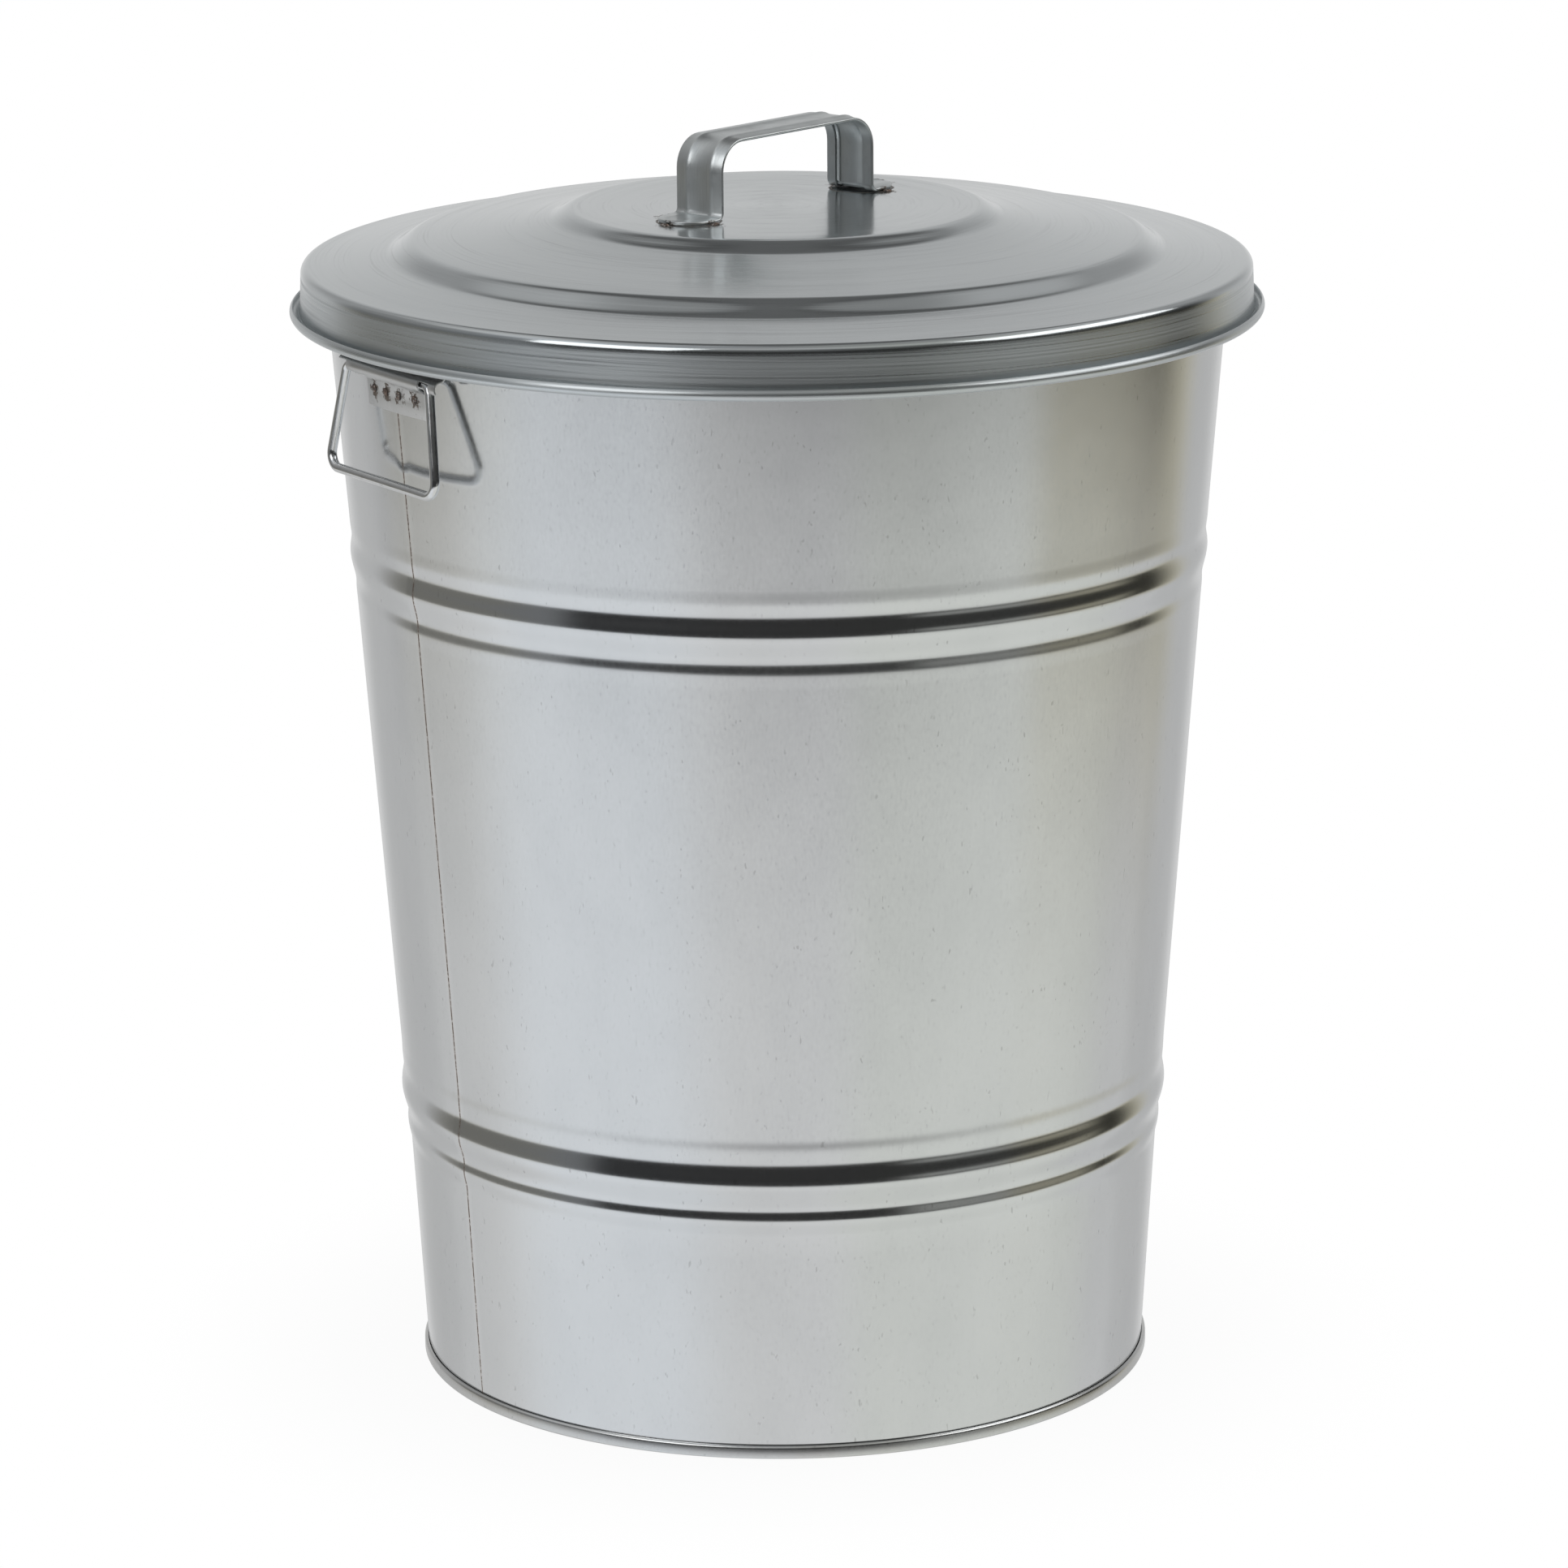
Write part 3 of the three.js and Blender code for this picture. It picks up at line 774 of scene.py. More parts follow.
    def finish(self, smooth: float = SMOOTH_ANGLE) -> bpy.types.Object:
        """Sets the shading, puts the object's place in its mesh and ends the work.

        Args:
            smooth: edges sharper than this angle stay sharp.

        Returns:
            The finished object.
        """
        self.alone()
        bpy.ops.object.transform_apply(location=True, rotation=True, scale=True)
        bpy.ops.object.shade_smooth_by_angle(angle=smooth)
        nothing_selected()
        return self.obj


def fit_out(piece: bpy.types.Object, body: str, finish: Finish, node: str,
            material: bpy.types.Material | None = None) -> None:
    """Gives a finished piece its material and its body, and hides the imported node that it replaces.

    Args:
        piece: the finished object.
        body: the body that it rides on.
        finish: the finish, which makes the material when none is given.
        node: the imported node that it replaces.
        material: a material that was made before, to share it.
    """
    piece.data.materials.clear()
    piece.data.materials.append(material or finish.material(piece.name + "_finish"))
    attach(piece, body)
    finish.slot.value
    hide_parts(node)
    log.info("%s: %d faces, on %s", piece.name, len(piece.data.polygons), body)


def turned(name: str, profile: Sequence[Pair]) -> Workpiece:
    """Turns a profile of (radius, height) pairs in mm once round the Z axis."""
    line = [Vector((radius * MM, 0.0, height * MM)) for radius, height in profile]
    return Workpiece(name, line[0]).line(line[1:]).turn_round()


def arc(centre: Pair, radius: float, start: float, end: float, steps: int) -> list[Pair]:
    """Points on an arc, both ends included; angles in degrees."""
    turns = [math.radians(start + (end - start) * i / steps) for i in range(steps + 1)]
    return [(centre[0] + radius * math.cos(t), centre[1] + radius * math.sin(t)) for t in turns]


def straight(start: Pair, end: Pair, steps: int) -> list[Pair]:
    """Points after `start` up to `end`, in even steps."""
    return [tuple(a + (b - a) * i / steps for a, b in zip(start, end)) for i in range(1, steps + 1)]


def evenly(start: float, end: float, steps: int) -> list[float]:
    """Numbers from `start` to `end`, both included, in even steps."""
    return [start + (end - start) * i / steps for i in range(steps + 1)]


def eased(start: Pair, end: Pair, steps: int) -> list[Pair]:
    """Points after `start` up to `end`: the first number runs evenly, the second eases."""
    shares = [(i + 1) / steps for i in range(steps)]
    return [(start[0] + (end[0] - start[0]) * t,
             start[1] + (end[1] - start[1]) * (1 - math.cos(math.pi * t)) / 2) for t in shares]


# ---------------------------------------------------------------- the tub


@dataclass
class Hoops:
    """One group of rolled hoops: each mark is a rise and how far the skin stands out there."""

    bottom: float
    flare: float
    marks: tuple[Pair, ...]

    @property
    def height(self) -> float:
        """From the group's bottom to its top."""
        return sum(rise for rise, _ in self.marks)

    def skin(self, radius: float, steps: int = 7) -> list[Pair]:
        """The skin across the group.

        Args:
            radius: the skin's radius at the bottom.
            steps: points for each mark.

        Returns:
            (radius, height) pairs after the bottom one.
        """
        points, rise, out = [], 0.0, 0.0
        for step, level in self.marks:
            for r, o in eased((rise, out), (rise + step, level), steps):
                points.append((radius + self.flare * r / self.height + o, self.bottom + r))
            rise, out = rise + step, level
        return points


@dataclass
class Tub:
    """The tapered wall with its hoops, rolled rim and welded lap seam, and the floor pan."""

    sheet: float = 0.6
    gap: float = 0.3
    height: float = 478.4
    foot_radius: float = 155.2
    lower_taper: float = 0.0606
    middle_taper: float = 0.0745
    upper_taper: float = 0.0815
    rim_curl: float = 3.75
    rim_sweep: float = 290.0
    lower: Hoops = field(default_factory=lambda: Hoops(97.5, 3.52, (
        (7.5, 0.78), (5.0, 0.25), (10.6, 1.85), (9.7, 0.20), (4.5, 0.22), (6.8, 0))))
    upper: Hoops = field(default_factory=lambda: Hoops(334, 3.224, (
        (6.0, 0.02), (5.2, -0.25), (10.9, 1.04), (8.2, -0.20), (5.8, 0.03), (5.7, 0))))
    ear_height: float = 450.5       # of the handles' hinge bars
    lap: float = 6.0
    lap_lift: float = 0.12
    lap_ramp: float = 20.0
    lap_edge: float = 0.4
    lap_fade: float = 14.0
    lap_strip: float = 16.0         # half the width of the strip that is cut for the lap
    bead_height: float = 5.7
    bead_corner: float = 1.2
    bead_lip: float = 0.25
    bead_tuck: float = 1.4
    floor_height: float = 9.0
    floor_corner: float = 2.0
    wall_rings: int = 10
    corner_steps: int = 6
    curl_steps: int = 22

    @property
    def lower_radius(self) -> float:
        """The skin where the lower hoops begin."""
        return self.foot_skin(self.lower.bottom)

    @property
    def upper_radius(self) -> float:
        """The skin where the upper hoops begin."""
        run = self.upper.bottom - self.lower.bottom - self.lower.height
        return self.lower_radius + self.lower.flare + self.middle_taper * run

    def foot_skin(self, z: float) -> float:
        """The skin's radius below the lower hoops."""
        return self.foot_radius + self.lower_taper * z

    def rim_skin(self, z: float) -> float:
        """The skin's radius above the upper hoops."""
        top = self.upper.bottom + self.upper.height
        return self.upper_radius + self.upper.flare + self.upper_taper * (z - top)

    @property
    def rim_centre(self) -> Pair:
        """The middle of the rim's curl."""
        z = self.height - self.rim_curl
        return self.rim_skin(z) - self.sheet + self.rim_curl, z

    def skin(self) -> list[Pair]:
        """The wall's outer skin, from the foot up and round inside the rim's curl.

        Returns:
            (radius, height) pairs.
        """
        foot = self.sheet + self.gap
        points = [(self.foot_skin(foot), foot)]
        points += straight(points[-1], (self.lower_radius, self.lower.bottom), self.wall_rings)
        points += self.lower.skin(self.lower_radius)
        points += straight(points[-1], (self.upper_radius, self.upper.bottom), self.wall_rings)
        points += self.upper.skin(self.upper_radius)
        curl = arc(self.rim_centre, self.rim_curl - self.sheet, 180, 180 - self.rim_sweep, self.curl_steps)
        points += straight(points[-1], curl[0], self.wall_rings)
        return points + curl[1:]

    def pan_skin(self) -> list[Pair]:
        """The floor pan's underside, from its edge on the wall's foot to its middle.

        Returns:
            (radius, height) pairs.
        """
        corner, lip = self.bead_corner, self.foot_skin(self.bead_height) + self.gap
        outer = lip + self.bead_lip + corner
        inner = self.foot_radius - 2 * self.sheet - self.bead_tuck
        side_top = self.floor_height - self.floor_corner
        side = self.foot_skin(side_top) - 2 * self.sheet - self.gap
        steps = self.corner_steps
        points = [(lip, self.bead_height)]
        points += arc((outer - corner, self.bead_height - corner), corner, 90, 0, steps)
        points += arc((outer - corner, corner), corner, 0, -90, steps)
        points += arc((inner + corner, corner), corner, -90, -180, steps)
        points += [(inner, self.bead_height / 2)]
        points += arc((side - self.floor_corner, side_top), self.floor_corner, 0, 90, steps)
        return points + [(side * share, self.floor_height) for share in (0.75, 0.5, 0.25, 0)]

    def seam_turn(self, run: float) -> float:
        """The angle at the axis of a run along the wall, at the ears' height."""
        return run / self.rim_skin(self.ear_height)

    def roll_seam(self, piece: Workpiece) -> None:
        """Cuts the wall beside the seam and lifts the lap off it, fading out at foot and rim.

        Args:
            piece: the turned wall, in edit mode.
        """
        lap_end = self.lap + self.lap_ramp
        for run in (lap_end, self.lap, -self.lap_edge):
            angle = math.pi - self.seam_turn(run)
            piece.pick(lambda p: p.x < 0 and abs(p.y) < self.lap_strip * MM, Pick.FACES)
            bpy.ops.mesh.bisect(plane_co=(0, 0, 0), plane_no=(-math.sin(angle), math.cos(angle), 0))
        low, high = self.floor_height, self.rim_centre[1]
        reach = self.seam_turn(1.0)
        for corner in bmesh.from_edit_mesh(piece.obj.data).verts:
            run = math.atan2(corner.co.y, -corner.co.x) / reach
            if corner.co.x > 0 or not -self.lap_edge < run < lap_end:
                continue
            z = corner.co.z / MM
            over = min(1.0, (lap_end - run) / self.lap_ramp, (run + self.lap_edge) / self.lap_edge)
            fade = max(0.0, min(1.0, (z - low) / self.lap_fade, (high - z) / self.lap_fade))
            corner.co.x -= self.lap_lift * MM * over * fade

    def build(self) -> None:
        """Models the wall and the floor pan and puts them in the frame."""
        piece = turned("tub_wall", self.skin())
        below_rim = (self.height - 5 * self.rim_curl) * MM
        piece.faces_the(lambda p: Vector((p.x, p.y, 0)) if p.z < below_rim else Vector())
        self.roll_seam(piece)
        wall = piece.thicken(self.sheet * MM).finish()
        # the slope at which the seam's painted shadow line lies
        seam = math.tan(self.seam_turn(self.lap_edge / 2))
        fit_out(wall, "tub", GalvanizedSheet(seam=seam), "body_shell")

        piece = turned("floor_pan", self.pan_skin())
        flat = (self.floor_height - self.floor_corner / 20) * MM
        piece.faces_the(lambda p: Vector((0, 0, -1)) if p.z > flat else Vector())
        floor = piece.thicken(self.sheet * MM).finish()
        fit_out(floor, "tub", GalvanizedSheet(colour=(0.66, 0.66, 0.65), roughness=0.24), "base_plate")


# ---------------------------------------------------------------- the lid


@dataclass
class Lid:
    """The stepped, domed lid with its deep skirt and curled edge, and the strap welded to it."""

    tub: Tub
    sheet: float = 0.6
    gap: float = 0.3
    rim_clearance: float = 2.87
    brim_curl: float = 2.5
    brim_sweep: float = 240.0
    inset: float = 0.01         # keeps the brim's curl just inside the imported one
    skirt_height: float = 22.0
    skirt_flare: float = 0.6
    shoulder: float = 3.5
    slope: float = 0.116
    step_radius: float = 158.4
    step_run: float = 13.0
    step_rise: float = 5.1
    disc_radius: float = 90.8
    disc_run: float = 11.5
    swell: float = 0.9
    swell_run: float = 26.0
    turn: float = math.radians(14)
    step_steps: int = 14
    swell_steps: int = 12
    crown_steps: int = 4
    shoulder_steps: int = 12
    curl_steps: int = 24

    @property
    def foot(self) -> float:
        """The outer radius of the skirt where its brim begins."""
        return self.tub.rim_centre[0] + self.tub.rim_curl + self.rim_clearance + self.sheet

    @property
    def edge(self) -> float:
        """The radius at which the crown meets the shoulder's bend."""
        return self.foot - self.skirt_flare - self.shoulder

    @property
    def disc_foot(self) -> float:
        """The radius at which the step up to the disc begins."""
        return self.disc_radius + self.disc_run / 2

    @property
    def brim_foot(self) -> float:
        """The height of the brim's underside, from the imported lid."""
        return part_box("lid_pan")[0].z / MM

    @property
    def disc_top(self) -> float:
        """The height of the flat disc's upper face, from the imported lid."""
        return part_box("lid_pan")[1].z / MM

    def crown(self, r: float) -> float:
        """How high the crown stands above the brim's underside.

        Args:
            r: the radius.

        Returns:
            The height: a gentle cone, one rolled step, and a swell up to the disc's edge.
        """
        reach = max(r, self.disc_foot)
        inward = min(1.0, max(0.0, (self.step_radius + self.step_run / 2 - reach) / self.step_run))
        swelling = max(0.0, 1 - (reach - self.disc_foot) / self.swell_run)
        height = self.skirt_height + self.slope * (self.edge - reach)
        return height + self.step_rise * (1 - math.cos(math.pi * inward)) / 2 + self.swell * swelling ** 2

    def disc(self, r: float) -> float:
        """The height of the disc and its step, which ease out of the crown's slope.

        Args:
            r: the radius.

        Returns:
            The height above the brim's underside.
        """
        base = self.crown(self.disc_foot)
        share = min(1.0, (self.disc_foot - r) / self.disc_run)
        slope = (self.slope + 2 * self.swell / self.swell_run) * self.disc_run
        rise = self.disc_top - self.brim_foot - base - slope / 2
        return base + slope * (share - share ** 2 / 2) + rise * (1 - math.cos(math.pi * share)) / 2

    def skin(self) -> list[Pair]:
        """The lid's upper skin from its middle out.

        Returns:
            (radius, height above the underside of the brim) pairs.
        """
        disc_edge = self.disc_radius - self.disc_run / 2
        outer, inner = self.step_radius + self.step_run / 2, self.step_radius - self.step_run / 2
        points = [(disc_edge * share, self.disc(0)) for share in (0, 0.12, 0.3, 0.5, 0.7, 0.85)]
        points += [(r, self.disc(r)) for r in evenly(disc_edge, self.disc_foot, self.step_steps)]
        crown = evenly(self.disc_foot, inner, self.swell_steps)[1:]
        crown += evenly(inner, outer, self.step_steps)[1:]
        crown += evenly(outer, self.edge, self.crown_steps)[1:-1]
        points += [(r, self.crown(r)) for r in crown]
        bend = (self.edge, self.skirt_height - self.shoulder)
        points += arc(bend, self.shoulder, 90, 0, self.shoulder_steps)
        curl = arc((self.foot - self.sheet + self.brim_curl, self.brim_curl),
                   self.brim_curl - self.sheet - self.inset, 180, 180 + self.brim_sweep, self.curl_steps)
        return points + straight(points[-1], curl[0], 4) + curl[1:]

    def build(self) -> None:
        """Models the lid's pan and its strap."""
        piece = turned("lid_shell", [(r, z + self.brim_foot) for r, z in self.skin()])
        crown = (self.brim_foot + self.skirt_height) * MM
        piece.faces_the(lambda p: Vector((0, 0, 1)) if p.z > crown else Vector())
        shell = piece.thicken(self.sheet * MM).finish()
        strap = Strap(self.disc_top + self.gap, self.turn)
        burnt = BurntSpots(strap.tack_places(), 3.4 * MM, edges=strap.foot_places(),
                           edge_radius=(strap.width / 2 + strap.burnt_reach) * MM,
                           cover=0.85, roughening=0.3, dulling=0.4)
        finish = SpunSheet(skirt_top=(self.brim_foot + self.skirt_height - self.shoulder) * MM, spots=burnt)
        fit_out(shell, "lid", finish, "lid_pan")
        strap.build()
        strap.tack_on()


@dataclass
class Strap:
    """The lid's strap handle, with two pressed ribs, folded hems and half-round feet."""

    seat: float
    turn: float
    sheet: float = 0.8
    width: float = 25.8
    span: float = 95.0
    height: float = 34.0
    bend: float = 13.0
    bend_steps: int = 10
    foot_bend: float = 2.4
    foot_length: float = 19.5
    foot_press: float = 0.3     # what pressing leaves of the ribs on the feet
    rib_height: float = 0.6
    rib_width: float = 3.6
    rib_offset: float = 6.6
    rib_shape: tuple[Pair, ...] = ((-0.5, 0), (-0.25, 0.62), (0, 1), (0.25, 0.62), (0.5, 0))
    hem_width: float = 5.0
    hem_round: float = 0.64
    tip_angle: float = 8.0
    tip_steps: int = 9
    tack_length: float = 5.0
    tack_width: float = 3.0
    tack_height: float = 1.0
    burnt_reach: float = 0.4    # how far outside the foot the burnt line lies
    gap: float = 0.3

    @property
    def tip(self) -> float:
        """How far each foot's tip lies from the lid's axis."""
        return self.span / 2 + self.foot_length

    @property
    def foot_height(self) -> float:
        """The height of the middle of the feet's upper sheet, which lies on the folded hems."""
        return self.seat + self.sheet * 1.5

    def tack_spots(self) -> list[Place]:
        """Where the tacks are before the lid's own turn.

        Returns:
            (x, y, turn) of each, in mm and radians.
        """
        off = self.tack_width / 2 + self.gap
        side, across = self.tip - self.width / 2, self.width / 2 + off
        one = [(self.tip + off, 0.0, math.pi / 2), (side, across, 0.0), (side, -across, 0.0)]
        return [(end * x, y, t) for end in (-1, 1) for x, y, t in one]

    def in_frame(self, spots: Iterable[Pair]) -> tuple[Place, ...]:
        """Places on the disc, from (x, y) before the lid's turn in mm to the frame in metres."""
        turned_by = Matrix.Rotation(self.turn, 3, "Z")
        return tuple(tuple(turned_by @ Vector((x * MM, y * MM, self.seat * MM))) for x, y in spots)

    def tack_places(self) -> tuple[Place, ...]:
        """Each tack's middle in the frame."""
        return self.in_frame((x, y) for x, y, _ in self.tack_spots())

    def foot_places(self) -> tuple[Place, ...]:
        """The middle of each foot's half round in the frame."""
        return self.in_frame((end * (self.tip - self.width / 2), 0) for end in (-1, 1))

    def section(self, z: float) -> list[Vector]:
        """The strap's outer skin across the middle of its bridge.

        Args:
            z: the height of the sheet's middle.

        Returns:
            Points from one hem's free edge, over the top, to the other's.
        """
        half, under, top = self.width / 2, z - self.sheet * 1.5, z + self.sheet / 2
        ribs = [(side * self.rib_offset + self.rib_width * across, self.rib_height * up)
                for side in (-1, 1) for across, up in self.rib_shape]
        hem = [(-half + self.hem_width, under), (-half + self.hem_round, under)]
        hem += arc((-half + self.hem_round, z - self.sheet / 2), self.hem_round, 250, 110, 5)
        other = [(-y, h) for y, h in reversed(hem)]
        line = hem + [(y, top + h) for y, h in ribs] + other
        return [Vector((0, y * MM, h * MM)) for y, h in line]

    def round_foot(self, piece: Workpiece) -> None:
        """Draws the selected section on into the foot's half round.

        Args:
            piece: the strap, in edit mode.
        """
        width, at = 1.0, 0.0
        for i in range(1, self.tip_steps + 1):
            angle = math.radians(90 - (90 - self.tip_angle) * i / self.tip_steps)
            x, share = self.width / 2 * math.cos(angle), math.sin(angle)
            piece.draw_out(Vector(((x - at) * MM, 0, 0)))
            bpy.ops.transform.resize(value=(1, share / width, 1), center_override=(0, 0, 0))
            width, at = share, x

    def press_foot(self, piece: Workpiece) -> None:
        """Presses the ribs nearly flat on the foot.

        Args:
            piece: the strap, in edit mode.
        """
        bend_top, bend_end = (self.foot_height + self.foot_bend) * MM, (self.span / 2 + 1) * MM
        flat = (self.foot_height + self.sheet / 2) * MM
        for corner in bmesh.from_edit_mesh(piece.obj.data).verts:
            if corner.co.x > bend_end and flat + 0.1 * MM < corner.co.z < bend_top:
                corner.co.z = flat + (corner.co.z - flat) * self.foot_press

    def build(self) -> None:
        """Models half the strap, mirrors it and turns it as it sits on the lid."""
        top = self.seat + self.height - self.sheet / 2 - self.rib_height
        leg, foot_round = self.span / 2, self.tip - self.width / 2
        section = self.section(top)
        piece = Workpiece("lid_strap", section[0]).line(section[1:]).everything()
        path = [(0, top), (leg, top), (leg, self.foot_height), (foot_round, self.foot_height)]
        piece.follow([Vector((x * MM, 0, z * MM)) for x, z in path],
                     [self.bend * MM, self.foot_bend * MM], self.bend_steps)
        self.round_foot(piece)
        self.press_foot(piece)
        piece.faces_out()
        bridge = (top + self.sheet * 0.4) * MM
        piece.faces_the(lambda p: Vector((0, 0, 1)) if p.z > bridge else Vector())
        piece.mirror(0).thicken(self.sheet * 0.94 * MM).soften(0.18 * MM, 1).reopen()
        bpy.ops.transform.rotate(value=-self.turn, orient_axis="Z", center_override=(0, 0, 0))
        burnt = BurntSpots(self.tack_places(), radius=3.0 * MM, cover=0.9)
        finish = BrightMetal(Slot.STRAP, (0.645, 0.675, 0.68), (0.50, 0.51, 0.51), 0.33,
                             stretch=(0.04, 1.0, 0.04), turn=self.turn, spots=burnt)
        fit_out(piece.finish(), "lid", finish, "lid_handle")

    def tack_on(self) -> None:
        """Models the tacks round the feet."""
        finish = BurntMetal()
        shared = finish.material("tack_finish")
        lump = WeldLump(self.tack_length / 2, self.tack_width / 2, self.tack_height)
        for i, (x, y, turn) in enumerate(self.tack_spots(), start=1):
            place = Matrix.Translation((x * MM, y * MM, (self.seat - self.gap / 2) * MM))
            seat = Matrix.Rotation(self.turn, 4, "Z") @ place @ Matrix.Rotation(turn, 4, "Z")
            fit_out(lump.build(f"lid_tack_{i}", seat, i), "lid", finish, f"lid_handle_weld_{i}", shared)


@dataclass
class WeldLump:
    """A low, uneven lump of weld metal."""

    half_length: float
    half_width: float
    height: float
    unevenness: float = 0.09    # as a share of its size, which keeps room for it
    width_share: float = 0.93
    height_share: float = 0.88

    def build(self, name: str, seat: Matrix, seed: int) -> bpy.types.Object:
        """Models one lump.

        Args:
            name: the piece's name.
            seat: puts the lump's base, on the XY plane, where it belongs.
            seed: makes each lump its own shape.

        Returns:
            The finished object.
        """
        piece = Workpiece(name)
        bpy.ops.mesh.primitive_uv_sphere_add(segments=18, ring_count=12, radius=1.0)
        piece.take().everything()
        bpy.ops.mesh.bisect(plane_co=(0, 0, 0), plane_no=(0, 0, 1), use_fill=True, clear_inner=True)
        piece.pick(lambda p: p.z > 0.1)
        bpy.ops.transform.vertex_random(offset=self.unevenness, uniform=0.3, seed=seed)
        piece.everything()
        length, width = self.half_length * self.width_share, self.half_width * self.width_share
        bpy.ops.transform.resize(value=(length * MM, width * MM, self.height * self.height_share * MM),
                                 center_override=(0, 0, 0))
        piece.faces_out().alone()
        piece.obj.matrix_world = seat
        return piece.finish(LUMP_SMOOTH_ANGLE)


# ---------------------------------------------------------------- handles at the sides


@dataclass
class DropHandle:
    """A bent wire handle that hangs from its hinge bar, which lies along the Y axis."""

    side: Side
    pivot_height: float
    wire: float = 4.0
    top_span: float = 64.3
    bottom_span: float = 84.2
    drop: float = 44.4
    lean: float = math.radians(5.0)
    top_bend: float = 4.0
    grip_bend: float = 6.0
    bend_steps: int = 10
    end_gap: float = 1.5
    sides: int = 24

    @property
    def node(self) -> str:
        """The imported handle's name."""
        return f"bail_{self.side.value}"

    def pivot(self) -> Pair:
        """(radius, height) of the hinge bar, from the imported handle."""
        low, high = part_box(self.node)
        return (abs(low.x) + abs(high.x)) / 2 / MM, self.pivot_height

    def build(self) -> None:
        """Models half the wire, mirrors it and hangs it at its pivot."""
        reach, z = (size * MM for size in self.pivot())
        out = reach + self.drop * math.sin(self.lean) * MM
        low = z - self.drop * math.cos(self.lean) * MM
        top, grip, end = (span / 2 * MM for span in (self.top_span, self.bottom_span, self.end_gap))
        start = Vector((reach, end, z))
        piece = Workpiece(f"wire_{self.side.value}")
        bpy.ops.mesh.primitive_circle_add(vertices=self.sides, radius=self.wire / 2 * MM,
                                          location=start, rotation=(math.pi / 2, 0, 0))
        piece.take().alone()
        bpy.ops.object.transform_apply(location=True, rotation=True, scale=True)
        piece.reopen()
        corners = [start, Vector((reach, top, z)), Vector((out, grip, low)), Vector((out, 0, low))]
        piece.follow(corners, [self.top_bend * MM, self.grip_bend * MM], self.bend_steps)
        piece.pick(lambda p: p.y < end + 0.01 * MM and p.z > z - self.wire * MM)
        bpy.ops.mesh.edge_face_add()
        piece.faces_out().mirror(1).reopen().faces_out()
        if self.side is Side.LEFT:
            piece.half_turn()
        piece.soften(0.25 * MM)
        finish = BrightMetal(Slot.WIRE, (0.76, 0.77, 0.775), (0.56, 0.565, 0.57), 0.15,
                             stretch=(0.6, 0.12, 0.12))
        fit_out(piece.finish(), self.node, finish, self.node)


